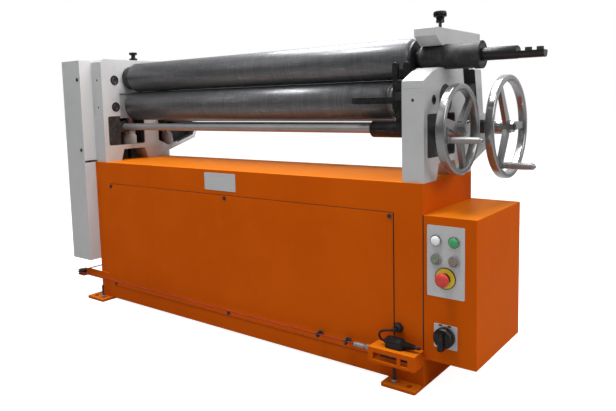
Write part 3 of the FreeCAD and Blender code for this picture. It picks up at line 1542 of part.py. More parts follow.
def trip_switch():
    """The bracket, the rope switch on it, its plunger and turnbuckle, and the lead into the base."""
    x = (bracket_left, bracket_right)
    front = base_front - bracket_depth
    sheet = bracket_sheet
    low = bracket_top - bracket_drop
    top_plate = block(x, (front, base_front), (bracket_top - sheet, bracket_top))
    apron = block(x, (front, front + sheet), (low, bracket_top))
    slots = [
        block((x[0] + start, x[0] + end), (front - 1, front + sheet + 1), (low + 8, bracket_top - 14))
        for start, end in bracket_slots
    ]
    end = block((x[1] - sheet, x[1]), (front, base_front), (low, bracket_top))
    other_end = block((x[0], x[0] + sheet), (front, base_front), (low, bracket_top))
    hole = bar((x[0] - 1, line_y, line_height), 7.5, sheet + 2, X)
    panel_face = base_front - panel_thickness
    panel = block((panel_left, panel_right), (panel_face, base_front), (panel_low, panel_high))
    keep("switch_bracket", cut(fuse(top_plate, apron, end, other_end), *slots, hole, panel))
    rise = bracket_top
    y = base_front - 30
    middle = rise + switch_body_height / 2
    body_left = x[0] + switch_body_set
    body_right = body_left + switch_body_length
    half = switch_body_half
    body = block((body_left, body_right), (y - half, y + half), (rise, rise + switch_body_height))
    body = rounded(body, 10, Z)
    nose = turned([(0, 0), (11, 0), (8, 34), (5, 36), (5, 50), (0, 50)], (body_right - 1, y, middle), X)
    entry = bar((body_left + 1, y, middle), 7, -5, X)
    rod = bar((x[0] - 40, line_y, line_height), 5, 100, X)
    socket = ring((x[0] - 66, line_y, line_height), 7, line_radius + seat_gap, 26, X)
    neck = bar((x[0] - 41, line_y, line_height), 7, 10, X)
    nut = hexagon((x[0] - 22, line_y, line_height), 16, 8, X)
    spring = []
    for i in range(9):
        spring.append(Part.makeTorus(8, 1.6, vec(x[0] + 12 + 5 * i, line_y, line_height), X))
    coil = fuse(ring((x[0] + 12, line_y, line_height), 7.4, 5 + seat_gap, 40, X), *spring)
    keep("turnbuckle", fuse(rod, socket, neck, nut), coil)
    lead = [
        (gland_x, base_front - 17, gland_height),
        (gland_x, base_front - 27, gland_height),
        (gland_x - 9, base_front - 36, gland_height),
        (gland_x - 23, base_front - 39, gland_height - 2),
        (gland_x - 39, base_front - 38, gland_height - 8),
        (gland_x - 47, base_front - 35, gland_height - 19),
        (gland_x - 46, base_front - 31.5, gland_height - 30),
        (body_left - 14, y, middle),
        (body_left - 4, y, middle),
    ]
    bends = lead_bends(lead)
    print("switch lead radii", [round(bend, 1) for bend in bends])
    keep("switch_lead", bent_tube(lead, lead_radius, bends))
    gland_bore, gland_thread, gland_end = lead_radius + 0.1, lead_radius + 3.9, base_wall + 6
    profile = [
        (gland_bore, -17),
        (11, -17),
        (13, -8),
        (14, 0),
        (gland_thread, 0),
        (gland_thread, gland_end),
        (gland_bore, gland_end),
    ]
    gland = turned(profile, (gland_x, base_front, gland_height), Y)
    keep("trip_switch", fuse(body, nose, entry), gland)


def main():
    base_cabinet()
    foot_plates()
    screws = service_panel()
    end_frames()
    frame_fasteners()
    upper_bearings(upper_roll())
    bearing_cap()
    left_knob()
    lower_roll()
    lower_carriage()
    rear_roll()
    rear_carriage()
    lifting_gear()
    worm_brackets()
    adjusting_shafts()
    clutch()
    handwheels()
    drive()
    screws += drive_cover()
    keep("sheet_metal_screws", *screws)
    control_devices(control_box())
    trip_line()
    trip_switch()
    os.makedirs("parts", exist_ok=True)
    for node, solids in nodes.items():
        shape = solids[0] if len(solids) == 1 else Part.makeCompound(solids)
        shape.exportStep(f"parts/{node}.step")
    print(len(nodes), "nodes")


main()
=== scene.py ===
import json
import math

import bmesh
import bpy
from mathutils import Matrix, Vector


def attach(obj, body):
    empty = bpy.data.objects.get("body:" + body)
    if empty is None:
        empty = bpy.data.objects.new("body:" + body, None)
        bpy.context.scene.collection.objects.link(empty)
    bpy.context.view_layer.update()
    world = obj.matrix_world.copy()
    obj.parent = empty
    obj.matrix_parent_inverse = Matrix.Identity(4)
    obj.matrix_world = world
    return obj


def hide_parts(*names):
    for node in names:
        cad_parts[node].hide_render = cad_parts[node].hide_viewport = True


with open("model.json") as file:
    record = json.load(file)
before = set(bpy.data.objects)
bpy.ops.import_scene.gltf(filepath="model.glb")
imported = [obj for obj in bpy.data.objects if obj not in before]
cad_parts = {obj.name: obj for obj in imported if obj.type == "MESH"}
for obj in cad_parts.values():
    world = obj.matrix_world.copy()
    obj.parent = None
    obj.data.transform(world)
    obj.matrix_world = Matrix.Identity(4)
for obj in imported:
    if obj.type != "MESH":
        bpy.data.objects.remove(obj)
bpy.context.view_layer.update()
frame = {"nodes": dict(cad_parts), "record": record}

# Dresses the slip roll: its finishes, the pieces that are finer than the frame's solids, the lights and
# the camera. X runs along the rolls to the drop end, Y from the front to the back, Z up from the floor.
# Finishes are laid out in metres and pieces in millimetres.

nodes = frame["nodes"]
X, Y, Z = Vector((1, 0, 0)), Vector((0, 1, 0)), Vector((0, 0, 1))
MM = 0.001
# Both in millimetres: the middle between the end frames along X, and the cabinet's front face along Y.
SHIFT = 23.0
FRONT = -173.0


# --- Shader maths -----------------------------------------------------------------------------------------


class Value:
    """A number that changes over a surface: arithmetic on it adds Math nodes."""

    def __init__(self, tree, socket):
        self.tree = tree
        self.socket = socket

    def math(self, operation, *others):
        made = add_node(self.tree, "ShaderNodeMath", {"operation": operation}, {})
        for place, item in enumerate((self, *others)):
            join(self.tree, item, made.inputs[place])
        return Value(self.tree, made.outputs[0])

    def __add__(self, other):
        return self.math("ADD", other)

    def __mul__(self, other):
        return self.math("MULTIPLY", other)

    def __sub__(self, other):
        return self.math("SUBTRACT", other)

    def __rsub__(self, other):
        return (self * -1) + other

    __radd__ = __add__
    __rmul__ = __mul__


def join(tree, item, socket):
    """Feeds a socket from a value, another socket or a constant."""
    if isinstance(item, Value):
        item = item.socket
    if isinstance(item, bpy.types.NodeSocket):
        tree.links.new(item, socket)
    else:
        socket.default_value = item


def add_node(tree, kind, settings, inputs):
    """Any node: its settings first, then the values or links of its sockets."""
    made = tree.nodes.new(kind)
    for name, setting in settings.items():
        if name == "stops":
            ramp = made.color_ramp
            while len(ramp.elements) < len(setting):
                ramp.elements.new(0.5)
            for element, (place, colour) in zip(ramp.elements, setting):
                element.position = place
                element.color = colour
        else:
            setattr(made, name, setting)
    for name, item in inputs.items():
        join(tree, item, made.inputs[name])
    return made


class Finish:
    """One material on a Principled surface, with the patterns that its look is made of."""

    def __init__(self, name, **surface):
        self.material = bpy.data.materials.new(name)
        self.material.use_nodes = True
        self.tree = self.material.node_tree
        self.shader = self.tree.nodes["Principled BSDF"]
        coordinates = add_node(self.tree, "ShaderNodeTexCoord", {}, {})
        self.place = coordinates.outputs["Object"]
        self.set(**surface)

    def set(self, **surface):
        for name, item in surface.items():
            join(self.tree, item, self.shader.inputs[name.replace("_", " ").title().replace("Ior", "IOR")])

    def node(self, kind, settings, inputs, output=0):
        return Value(self.tree, add_node(self.tree, kind, settings, inputs).outputs[output])

    def stretched(self, *scale):
        """The place on the surface with each axis drawn out by its own factor."""
        return self.node("ShaderNodeMapping", {}, {"Vector": self.place, "Scale": scale})

    def noise(self, scale, detail=3.0, roughness=0.55, place=None):
        """Cloudy variation between about 0.3 and 0.7."""
        inputs = {"Vector": place or self.place, "Scale": scale, "Detail": detail, "Roughness": roughness}
        return self.node("ShaderNodeTexNoise", {}, inputs)

    def patches(self):
        """Patches left by oil and handling, from 0 to 1."""
        return self.spread(self.noise(48.0, 5.0, 0.65), 0.42, 0.66)

    def cells(self, scale):
        """Distance to the nearest of scattered points."""
        return self.node("ShaderNodeTexVoronoi", {}, {"Vector": self.place, "Scale": scale})

    def along(self, axis):
        """The place along one axis, in metres."""
        return self.node("ShaderNodeSeparateXYZ", {}, {"Vector": self.place}, axis)

    def facing(self, axis):
        """How far the true surface faces along one axis of the machine, from -1 to 1."""
        normal = self.node("ShaderNodeNewGeometry", {}, {}, "True Normal")
        return self.node("ShaderNodeSeparateXYZ", {}, {"Vector": normal}, axis)

    def blend(self, share, first, second):
        """A colour between two colours."""
        made = add_node(self.tree, "ShaderNodeMix", {"data_type": "RGBA"}, {})
        for place, item in ((0, share), (6, first), (7, second)):
            join(self.tree, item, made.inputs[place])
        return made.outputs[2]

    def spread(self, value, low, high, to_low=0.0, to_high=1.0):
        """A value drawn out from one range to another, held at both ends."""
        inputs = {"Value": value, "From Min": low, "From Max": high, "To Min": to_low, "To Max": to_high}
        return self.node("ShaderNodeMapRange", {}, inputs)

    def bump(self, height, strength, distance):
        inputs = {"Height": height, "Strength": strength, "Distance": distance}
        return self.node("ShaderNodeBump", {}, inputs)

    def within(self, outline):
        """Above 0 inside a convex outline of (y, z) places, seen along the rolls, and below 0 outside."""
        depth = None
        for one, two in zip(outline, outline[1:] + outline[:1]):
            edge = (Vector(two) - Vector(one)).normalized()
            side = (self.along(2) - one[1]) * edge.x - (self.along(1) - one[0]) * edge.y
            depth = side if depth is None else depth.math("MINIMUM", side)
        return depth

    def worn_edges(self, radius):
        """1 on the sharp edges of a piece and 0 away from them."""
        rounded = self.node("ShaderNodeBevel", {"samples": 6}, {"Radius": radius})
        true = self.node("ShaderNodeNewGeometry", {}, {}, "Normal")
        both = {0: rounded, 1: true}
        turned = self.node("ShaderNodeVectorMath", {"operation": "DOT_PRODUCT"}, both, "Value")
        return self.spread(1 - turned, 0.02, 0.25)


def rgb(red, green, blue):
    return (red, green, blue, 1.0)


def grey(tone):
    return rgb(tone, tone, tone)


WHITE = grey(1)


# --- Finishes ---------------------------------------------------------------------------------------------


def enamel(name, colour, shade, light, roughness, coat, peel, gloss=0.08, painted_top_light=None):
    """Sprayed enamel with a faint orange peel, clouds of tone, rubbed patches, and, where asked, upward
    faces tinted lighter and yellower as painted light.
    """
    finish = Finish(name, coat_roughness=0.3, ior=1.2, specular_ior_level=gloss)
    clouds = finish.spread(finish.noise(3.2, 4.0), 0.38, 0.62)
    rubbed = finish.spread(finish.noise(21.0, 5.0, 0.7), 0.56, 0.72)
    tone = finish.blend(clouds, rgb(*shade), rgb(*colour))
    tone = finish.blend(rubbed * 0.35, tone, rgb(*light))
    if painted_top_light:
        # Painted light: faces that look up are tinted lighter and yellower, as if lit from above.
        tone = finish.blend(finish.spread(finish.facing(2), 0.5, 0.95), tone, rgb(*painted_top_light))
    fine = finish.noise(420.0, 2.0, 0.5)
    waves = finish.noise(60.0, 2.0, 0.4)
    finish.set(
        base_color=tone,
        roughness=rubbed * 0.10 + clouds * 0.05 + roughness,
        coat_weight=coat - rubbed * 0.2,
        normal=finish.bump(fine + waves * 2.0, peel, 0.0006),
    )
    return finish.material


def slanted(middle, across, along, angle):
    """The corners of a box turned about its middle, as (y, z) places."""
    turn = math.radians(angle)
    (near, far), (foot, top) = across, along
    corners = []
    for a, b in ((near, foot), (far, foot), (far, top), (near, top)):
        y = middle[0] + a * math.cos(turn) - b * math.sin(turn)
        z = middle[1] + a * math.sin(turn) + b * math.cos(turn)
        corners.append((y, z))
    return corners


# The hollows of both end frames that are painted dark as shade: rear slide, tail pocket and front window.
HOLLOWS = (
    slanted((0.168, 0.810), (-0.048, 0.048), (-0.062, 0.152), 11.0),
    [
        (0.122, 0.666), (0.190, 0.636), (0.332, 0.680), (0.357, 0.728),
        (0.344, 0.738), (0.258, 0.764), (0.122, 0.764),
    ],
    [(-0.145, 0.660), (0.042, 0.660), (0.042, 0.783), (-0.145, 0.783)],
)
# The middle of each end frame's thickness along X, and how far from it the painted shade reaches to both
# sides.
FRAME_MIDDLE, SHADE_REACH = 0.7265, 0.0325
# The colour of the painted shade in the frames' hollows.
HOLLOW_SHADE = rgb(0.040, 0.040, 0.041)


def casting(name, colour, shade, hollows=()):
    """Thick paint over an iron casting: broad dips, fine pits, handling marks, and painted shade in its
    hollows.
    """
    finish = Finish(name, coat_weight=0.12, coat_roughness=0.25)
    clouds = finish.spread(finish.noise(5.5, 5.0, 0.6), 0.36, 0.64)
    marks = finish.spread(finish.noise(34.0, 6.0, 0.72), 0.57, 0.70)
    tone = finish.blend(clouds, rgb(*shade), rgb(*colour))
    tone = finish.blend(marks * 0.22, tone, rgb(*(part * 0.72 for part in colour)))
    # Painted shade: the frames' hollows are coloured dark where shade falls in them.
    if hollows:
        deepest = None
        for outline in hollows:
            depth = finish.within(outline)
            deepest = depth if deepest is None else deepest.math("MAXIMUM", depth)
        from_middle = (finish.along(0) - SHIFT * MM).math("ABSOLUTE")
        within = SHADE_REACH - (FRAME_MIDDLE - from_middle).math("ABSOLUTE")
        grime_and_shade = finish.spread(deepest.math("MINIMUM", within), -0.0012, -0.0002)
        tone = finish.blend(grime_and_shade, tone, HOLLOW_SHADE)
    dips = finish.noise(26.0, 3.0, 0.5)
    pits = finish.noise(310.0, 2.0, 0.5)
    finish.set(
        base_color=tone,
        roughness=marks * 0.12 + 0.42,
        normal=finish.bump(dips * 3.0 + pits, 0.16, 0.0009),
    )
    return finish.material


# Where the rolls' ground barrels end along X and the blacked tail begins.
BARREL_END = 0.6904


def rolled_steel():
    """Ground and oiled roll: rings round the barrel, cloudy scale, lengthwise rubs and a black tail."""
    finish = Finish("roll_steel", metallic=0.62, specular_ior_level=0.3)
    rings = finish.noise(1.0, 5.0, 0.75, finish.stretched(260.0, 4.0, 4.0))
    scale = finish.noise(1.0, 6.0, 0.68, finish.stretched(22.0, 40.0, 40.0))
    scuffs = finish.spread(finish.noise(1.0, 5.0, 0.7, finish.stretched(16.0, 110.0, 110.0)), 0.54, 0.68)
    clouds = finish.spread(scale, 0.30, 0.72)
    tone = finish.blend(clouds, rgb(0.088, 0.090, 0.094), rgb(0.125, 0.127, 0.133))
    tone = finish.blend(finish.spread(rings, 0.35, 0.65) * 0.55, tone, rgb(0.20, 0.202, 0.208))
    tone = finish.blend(scuffs * 0.40, tone, rgb(0.30, 0.30, 0.31))
    beyond = finish.spread(finish.along(0), BARREL_END, BARREL_END + 0.001)
    tone = finish.blend(beyond, tone, rgb(0.036, 0.036, 0.037))
    finish.set(
        base_color=tone,
        roughness=finish.spread(rings, 0.3, 0.7, 0.30, 0.42) - scuffs * 0.06,
        normal=finish.bump(rings, 0.20, 0.0002),
    )
    return finish.material


def bright_steel(name, tone, roughness, turned=True, scratches=0.12):
    """Turned or polished steel with hairlines that catch the light."""
    finish = Finish(name, metallic=1.0)
    drawn_out = (1400.0, 14.0, 14.0) if turned else (90.0, 90.0, 90.0)
    lines = finish.noise(1.0, 5.0, 0.7, finish.stretched(*drawn_out))
    haze = finish.noise(30.0, 4.0, 0.6)
    bright = rgb(tone, tone, tone * 1.01)
    dull = rgb(tone * 0.78, tone * 0.78, tone * 0.80)
    finish.set(
        base_color=finish.blend(finish.spread(haze, 0.40, 0.64), bright, dull),
        roughness=finish.spread(lines + haze * 0.5, 0.5, 1.0, roughness, roughness + 0.14),
        normal=finish.bump(lines, scratches, 0.0002),
    )
    return finish.material


def plated(name, tone, roughness, metallic):
    """Plated or drawn steel whose shine is a little dulled all over."""
    finish = Finish(name, metallic=metallic, coat_weight=0.08, coat_roughness=0.15, specular_ior_level=0.3)
    haze = finish.spread(finish.noise(9.0, 3.0, 0.5), 0.36, 0.64)
    finish.set(
        base_color=finish.blend(haze, grey(tone), rgb(tone * 0.82, tone * 0.82, tone * 0.83)),
        roughness=haze * 0.06 + roughness,
    )
    return finish.material


def black_steel(name, tone, roughness, painted_lit_tops=False):
    """Blacked or oiled machine steel, rubbed grey on its edges, and, where asked, upward faces painted
    lighter as a painted highlight.
    """
    finish = Finish(name, metallic=0.45, specular_ior_level=0.25)
    patches = finish.patches()
    edges = finish.worn_edges(0.0012)
    colour = finish.blend(patches, grey(tone), rgb(tone * 2.1, tone * 2.05, tone * 2.0))
    colour = finish.blend(edges * 0.4, colour, grey(0.24))
    if painted_lit_tops:
        # Painted highlight: upward faces are coloured lighter grey, as if lit from above.
        tops = finish.spread(finish.facing(2), 0.80, 0.98)
        colour = finish.blend(tops * 0.8, colour, grey(0.34))
    finish.set(
        base_color=colour,
        roughness=patches * 0.16 + roughness,
        normal=finish.bump(finish.noise(380.0, 3.0), 0.14, 0.0003),
    )
    return finish.material


def block_steel():
    """Sliding blocks: the left one painted like its frame, the right one blackened."""
    finish = Finish("block_steel", metallic=0.1, roughness=0.5, specular_ior_level=0.25)
    left = finish.spread(finish.along(0), -0.45, -0.50)
    patches = finish.patches()
    blacked = finish.blend(patches, grey(0.035), rgb(0.07, 0.07, 0.068))
    painted = finish.blend(patches, rgb(0.36, 0.362, 0.365), rgb(0.30, 0.302, 0.305))
    finish.set(base_color=finish.blend(left, blacked, painted))
    return finish.material


def moulded(name, colour, roughness, grain=260.0, coat=0.0, gloss=0.5):
    """Moulded plastic with a fine spark-eroded grain and a little handling shine."""
    finish = Finish(name, coat_weight=coat, coat_roughness=0.1, specular_ior_level=gloss)
    shine = finish.spread(finish.noise(70.0, 3.0), 0.40, 0.66)
    lighter = tuple(min(1.0, part * 1.35 + 0.01) for part in colour)
    finish.set(
        base_color=finish.blend(shine * 0.6, rgb(*colour), rgb(*lighter)),
        roughness=roughness - shine * 0.08,
        normal=finish.bump(finish.noise(grain, 2.0), 0.12, 0.0003),
    )
    return finish.material


def lens(name, colour, glow):
    """A moulded lamp lens: deep colour, glossy, finely faceted, with a little light of its own."""
    finish = Finish(name, roughness=0.22, coat_weight=0.15, coat_roughness=0.08, specular_ior_level=0.3)
    facets = finish.cells(420.0)
    pale = tuple(part + (1 - part) * 0.08 for part in colour)
    finish.set(
        base_color=finish.blend(finish.spread(facets, 0.1, 0.6), rgb(*colour), rgb(*pale)),
        emission_color=finish.blend(finish.spread(facets, 0.0, 0.7), rgb(*colour), rgb(*pale)),
        emission_strength=glow,
        normal=finish.bump(facets, 0.25, 0.0005),
    )
    return finish.material


def brushed_plate():
    """Satin anodised plate with short brushing along X."""
    finish = Finish("plate_aluminium", metallic=0.15, specular_ior_level=0.3)
    lines = finish.noise(1.0, 4.0, 0.7, finish.stretched(30.0, 900.0, 900.0))
    clouds = finish.noise(26.0, 3.0)
    brushing = finish.spread(lines, 0.35, 0.65)
    finish.set(
        base_color=finish.blend(brushing, rgb(0.52, 0.525, 0.525), rgb(0.62, 0.625, 0.625)),
        roughness=clouds * 0.12 + 0.34,
        normal=finish.bump(lines, 0.10, 0.0002),
    )
    return finish.material


def rope_sheath():
    """Red plaited sheath over the wire, darker in its valleys."""
    finish = Finish("line_red", roughness=0.6, specular_ior_level=0.15)
    weave = finish.noise(900.0, 3.0, 0.6)
    grime_and_shade = finish.spread(finish.noise(14.0, 4.0), 0.42, 0.66)
    tone = finish.blend(weave, rgb(0.36, 0.030, 0.012), rgb(0.56, 0.060, 0.025))
    finish.set(
        base_color=finish.blend(grime_and_shade * 0.5, tone, rgb(0.16, 0.03, 0.02)),
        normal=finish.bump(weave, 0.3, 0.0004),
    )
    return finish.material


# The paint of the castings: its own tone, and a darker one for its clouds.
CAST_TONES = ((0.56, 0.565, 0.57), (0.49, 0.495, 0.50))

FINISHES = {
    # The orange's last colour is painted light: the lighter tint of its upward faces.
    "orange_paint": enamel(
        "orange_paint", (0.64, 0.106, 0.004), (0.60, 0.094, 0.003), (0.67, 0.125, 0.007),
        0.42, 0.0, 0.10, 0.04, (0.74, 0.19, 0.008),
    ),
    "grey_paint": casting("grey_paint", *CAST_TONES),
    # The frames' paint, with painted shade in their hollows.
    "frame_paint": casting("frame_paint", *CAST_TONES, HOLLOWS),
    "cover_grey": enamel(
        "cover_grey", (0.58, 0.585, 0.59), (0.53, 0.535, 0.54), (0.63, 0.63, 0.635), 0.42, 0.2, 0.07
    ),
    "roll_steel": rolled_steel(),
    "bright_steel": bright_steel("bright_steel", 0.66, 0.13),
    "wheel_chrome": plated("wheel_chrome", 0.34, 0.16, 0.72),
    "drawn_steel": plated("drawn_steel", 0.34, 0.32, 0.35),
    "block_steel": block_steel(),
    "dark_steel": black_steel("dark_steel", 0.035, 0.48),
    "oiled_steel": black_steel("oiled_steel", 0.055, 0.30),
    # Blacked steel with a painted highlight on its upward faces.
    "blacked_steel": black_steel("blacked_steel", 0.015, 0.36, True),
    "cast_housing": casting("cast_housing", (0.48, 0.485, 0.48), (0.42, 0.425, 0.42)),
    "black_plastic": moulded("black_plastic", (0.010, 0.010, 0.011), 0.42, 260.0, 0.0, 0.25),
    "black_gloss": moulded("black_gloss", (0.005, 0.005, 0.0055), 0.24, 320.0, 0.04, 0.25),
    "stop_red": moulded("stop_red", (0.60, 0.050, 0.040), 0.34, 300.0, 0.1, 0.3),
    "plate_aluminium": brushed_plate(),
    "lamp_white": lens("lamp_white", (0.80, 0.81, 0.80), 0.10),
    "lamp_green": lens("lamp_green", (0.0, 0.30, 0.07), 0.06),
    "button_green": moulded("button_green", (0.20, 0.24, 0.17), 0.40, 260.0, 0.0, 0.3),
    "button_red": moulded("button_red", (0.27, 0.20, 0.17), 0.40, 260.0, 0.0, 0.3),
    "stop_yellow": moulded("stop_yellow", (0.78, 0.56, 0.03), 0.40),
    "line_red": rope_sheath(),
    "machine_grey": enamel(
        "machine_grey", (0.30, 0.33, 0.36), (0.25, 0.28, 0.31), (0.38, 0.41, 0.44), 0.45, 0.1, 0.12
    ),
    "zinc": bright_steel("zinc", 0.50, 0.32, False, 0.15),
}

SLOTS = {node["node"]: node["material_slot"] for node in frame["record"]["subparts"]}


# --- Making pieces ----------------------------------------------------------------------------------------

# Points of a node that are closer than this, in metres, become one.
WELD_GAP = 0.00002
# Angles in degrees: faces that count as one flat face, edges that are eased on nodes and on own pieces, and
# edges that are shaded sharp.
FLAT_ANGLE, NODE_EDGE, PIECE_EDGE, SHARP_EDGE = 0.4, 32.0, 35.0, 38.0


def ease(piece, width, angle):
    """Rounds the edges of a piece that are sharper than an angle in degrees."""
    bevel = piece.modifiers.new("eased", "BEVEL")
    bevel.width = width
    bevel.segments = 2
    bevel.limit_method = "ANGLE"
    bevel.angle_limit = math.radians(angle)


def dress(name, finish, width):
    """A frame node with its finish, its flat faces joined, and its sharp edges eased if it has a width."""
    piece = nodes[name]
    piece.data.materials.clear()
    piece.data.materials.append(FINISHES[finish])
    weld = piece.modifiers.new("weld", "WELD")
    weld.merge_threshold = WELD_GAP
    flat = piece.modifiers.new("flat", "DECIMATE")
    flat.decimate_type = "DISSOLVE"
    flat.angle_limit = math.radians(FLAT_ANGLE)
    if width:
        ease(piece, width, NODE_EDGE)


# Nodes whose look differs from their material's, and the widths that edges are eased to.
OWN_FINISH = {
    "left_frame": "frame_paint",
    "right_frame": "frame_paint",
    "lower_roll_carriage": "block_steel",
    "indicator_lamps": "lamp_white",
    "drive_cover": "cover_grey",
    "upper_roll_bearings": "dark_steel",
    "clutch_sleeve": "blacked_steel",
    "clutch_lever": "blacked_steel",
    "front_shaft_left": "drawn_steel",
    "front_shaft_right": "drawn_steel",
    "rear_shaft": "dark_steel",
    "front_handwheel": "wheel_chrome",
    "rear_handwheel": "wheel_chrome",
    "front_handle": "wheel_chrome",
    "rear_handle": "oiled_steel",
}
EASED = {
    "service_panel": 0.0008,
    "control_box": 0.0040,
    "drive_cover": 0.0014,
    "left_frame": 0.0024,
    "right_frame": 0.0024,
    "bearing_cap": 0.0022,
    "foot_plates": 0.0012,
    "switch_bracket": 0.0010,
    "clutch_lever": 0.0014,
    "shaft_brackets": 0.0014,
    "control_plates": 0.0004,
}
for name in nodes:
    dress(name, OWN_FINISH.get(name, SLOTS[name]), EASED.get(name, 0.0))


# --- Finer pieces -----------------------------------------------------------------------------------------


def at(x, y, z):
    """A place given in millimetres, along X from the middle between the end frames."""
    return Vector((x + SHIFT, y, z)) * MM


def plain_round(turn):
    return 1.0


def six_sided(turn):
    """A hexagon's outline, as a share of half its width across the flats."""
    return 1.0 / math.cos((turn + math.pi / 6) % (math.pi / 3) - math.pi / 6)


def lobed(count, depth):
    """A wavy outline with so many lobes."""
    return lambda turn: 1.0 - depth * (0.5 - 0.5 * math.cos(count * turn))


def fluted(count, depth):
    """A round outline with narrow rounded flutes cut into it."""
    return lambda turn: 1.0 - depth * max(0.0, math.cos(count * turn)) ** 3


class Form:
    """Points and faces of one piece, built up from simple shapes in millimetres."""

    def __init__(self):
        self.points = []
        self.faces = []

    def turned(self, profile, base, axis, steps, outline=plain_round):
        """Spins (radius, distance) pairs about an axis, with an outline that may be other than round."""
        side = axis.orthogonal().normalized()
        across = axis.cross(side)
        rings = []
        for radius, along in profile:
            first = len(self.points)
            centre = at(*base) + axis * along * MM
            if radius <= 0:
                self.points.append(centre)
                rings.append([first])
                continue
            for i in range(steps):
                turn = 2 * math.pi * i / steps
                reach = radius * outline(turn) * MM
                self.points.append(centre + side * math.cos(turn) * reach + across * math.sin(turn) * reach)
            rings.append(list(range(first, first + steps)))
        if profile[0][0] > 0:
            rings.append(rings[0])
        for one, two in zip(rings, rings[1:]):
            for i in range(steps):
                j = (i + 1) % steps
                if len(one) == 1:
                    self.faces.append((one[0], two[i], two[j]))
                elif len(two) == 1:
                    self.faces.append((one[i], two[0], one[j]))
                else:
                    self.faces.append((one[i], two[i], two[j], one[j]))
        return self

    def tube(self, path, radius, steps):
        """A round bar along a row of places in metres."""
        rings = []
        side = None
        for i, place in enumerate(path):
            ahead = (path[min(i + 1, len(path) - 1)] - path[max(i - 1, 0)]).normalized()
            side = ahead.orthogonal() if side is None else side - ahead * side.dot(ahead)
            side = side.normalized()
            across = ahead.cross(side)
            first = len(self.points)
            for k in range(steps):
                turn = 2 * math.pi * k / steps
                self.points.append(place + (side * math.cos(turn) + across * math.sin(turn)) * radius * MM)
            rings.append(first)
        for one, two in zip(rings, rings[1:]):
            for k in range(steps):
                j = (k + 1) % steps
                self.faces.append((one + k, one + j, two + j, two + k))
        self.faces.append(tuple(range(rings[0], rings[0] + steps)))
        self.faces.append(tuple(range(rings[-1], rings[-1] + steps)))
        return self

    def plate(self, outline, low, high, axis=1):
        """An outline made thick along one axis; it lists the other two coordinates in order."""
        first = len(self.points)
        count = len(outline)
        for level in (low, high):
            for pair in outline:
                place = list(pair)
                place.insert(axis, level)
                self.points.append(at(*place))
        for i in range(count):
            j = (i + 1) % count
            self.faces.append((first + i, first + j, first + count + j, first + count + i))
        self.faces.append(tuple(range(first, first + count)))
        self.faces.append(tuple(range(first + count, first + 2 * count)))
        return self

    def piece(self, name, body, finish, replaces=(), slot=None, eased=0.0):
        """The piece as an object that rides on a body."""
        mesh = bpy.data.meshes.new(name)
        mesh.from_pydata([tuple(point) for point in self.points], [], self.faces)
        shaped = bmesh.new()
        shaped.from_mesh(mesh)
        bmesh.ops.recalc_face_normals(shaped, faces=shaped.faces)
        shaped.to_mesh(mesh)
        shaped.free()
        mesh.shade_smooth()
        mesh.set_sharp_from_angle(angle=math.radians(SHARP_EDGE))
        made = bpy.data.objects.new(name, mesh)
        bpy.context.scene.collection.objects.link(made)
        mesh.materials.append(FINISHES[finish])
        if eased:
            ease(made, eased, PIECE_EDGE)
        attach(made, body)
        if replaces:
            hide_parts(*replaces)


def rounded_box(x, y, radius, steps=5):
    """The outline of a box with rounded corners, in its own plane."""
    points = []
    for cx, cy, start in (
        (x[1] - radius, y[1] - radius, 0),
        (x[0] + radius, y[1] - radius, 90),
        (x[0] + radius, y[0] + radius, 180),
        (x[1] - radius, y[0] + radius, 270),
    ):
        for i in range(steps + 1):
            turn = math.radians(start + 90 * i / steps)
            points.append((cx + radius * math.cos(turn), cy + radius * math.sin(turn)))
    return points


def coil(start, axis, radius, pitch, turns):
    """Places along a helix about an axis, in metres."""
    side = axis.orthogonal().normalized()
    across = axis.cross(side)
    places, steps = [], 14
    for i in range(int(turns * steps) + 1):
        turn = 2 * math.pi * i / steps
        reach = axis * pitch * i / steps + side * math.cos(turn) * radius + across * math.sin(turn) * radius
        places.append(at(*start) + reach * MM)
    return places


def threaded(radius, length, pitch, start=0.0):
    """The profile of a screw thread, cut as rings at its pitch between two chamfers."""
    chamfer = 0.8
    profile = [(0, start), (radius - chamfer, start)]
    along = start + chamfer
    while along < start + length - chamfer:
        profile += [(radius, along), (radius, along + pitch * 0.2), (radius * 0.86, along + pitch * 0.6)]
        along += pitch
    return profile + [(radius - chamfer, start + length), (0, start + length)]


def cap_knob():
    """The lobed knob on the bearing cap, with its threaded stud."""
    seat = (726.5, 12.0, 1025.0)
    stud = Form().turned(threaded(5.0, 67.0, 1.6, -43.0), seat, Z, 20)
    stud.piece("cap_knob_stud", "cap_knob", "oiled_steel", ("cap_knob",), "dark_steel")
    head = Form()
    neck = [(0, 21), (11, 21), (12.5, 22.5), (11.4, 30), (12.5, 37), (0, 37)]
    head.turned(neck, seat, Z, 40)
    grip = [(0, 37), (15, 37), (18.6, 38.4), (20, 41.5), (20, 49.5), (18.4, 53.4), (14, 55), (7, 54.2)]
    grip.append((0, 53.8))
    head.turned(grip, seat, Z, 96, lobed(7, 0.15))
    head.piece("cap_knob_head", "cap_knob", "black_gloss", ("cap_knob",))


def left_knob():
    """The waisted and fluted knob on the left frame."""
    seat = (-714.0, 18.0, 1022.0)
    spool = [(0, 0), (16, 0), (17, 1.2), (17, 7.6), (15.6, 9), (10, 10.5), (8.6, 14), (8.5, 19)]
    spool += [(10, 22.4), (15, 24), (17, 25.6), (17, 33), (15.4, 35), (9, 35), (7.6, 34), (0, 34)]
    waisted = Form().turned(spool, seat, Z, 72, fluted(18, 0.06))
    waisted.piece("left_knob_spool", "left_top_knob", "black_gloss", ("left_top_knob",))


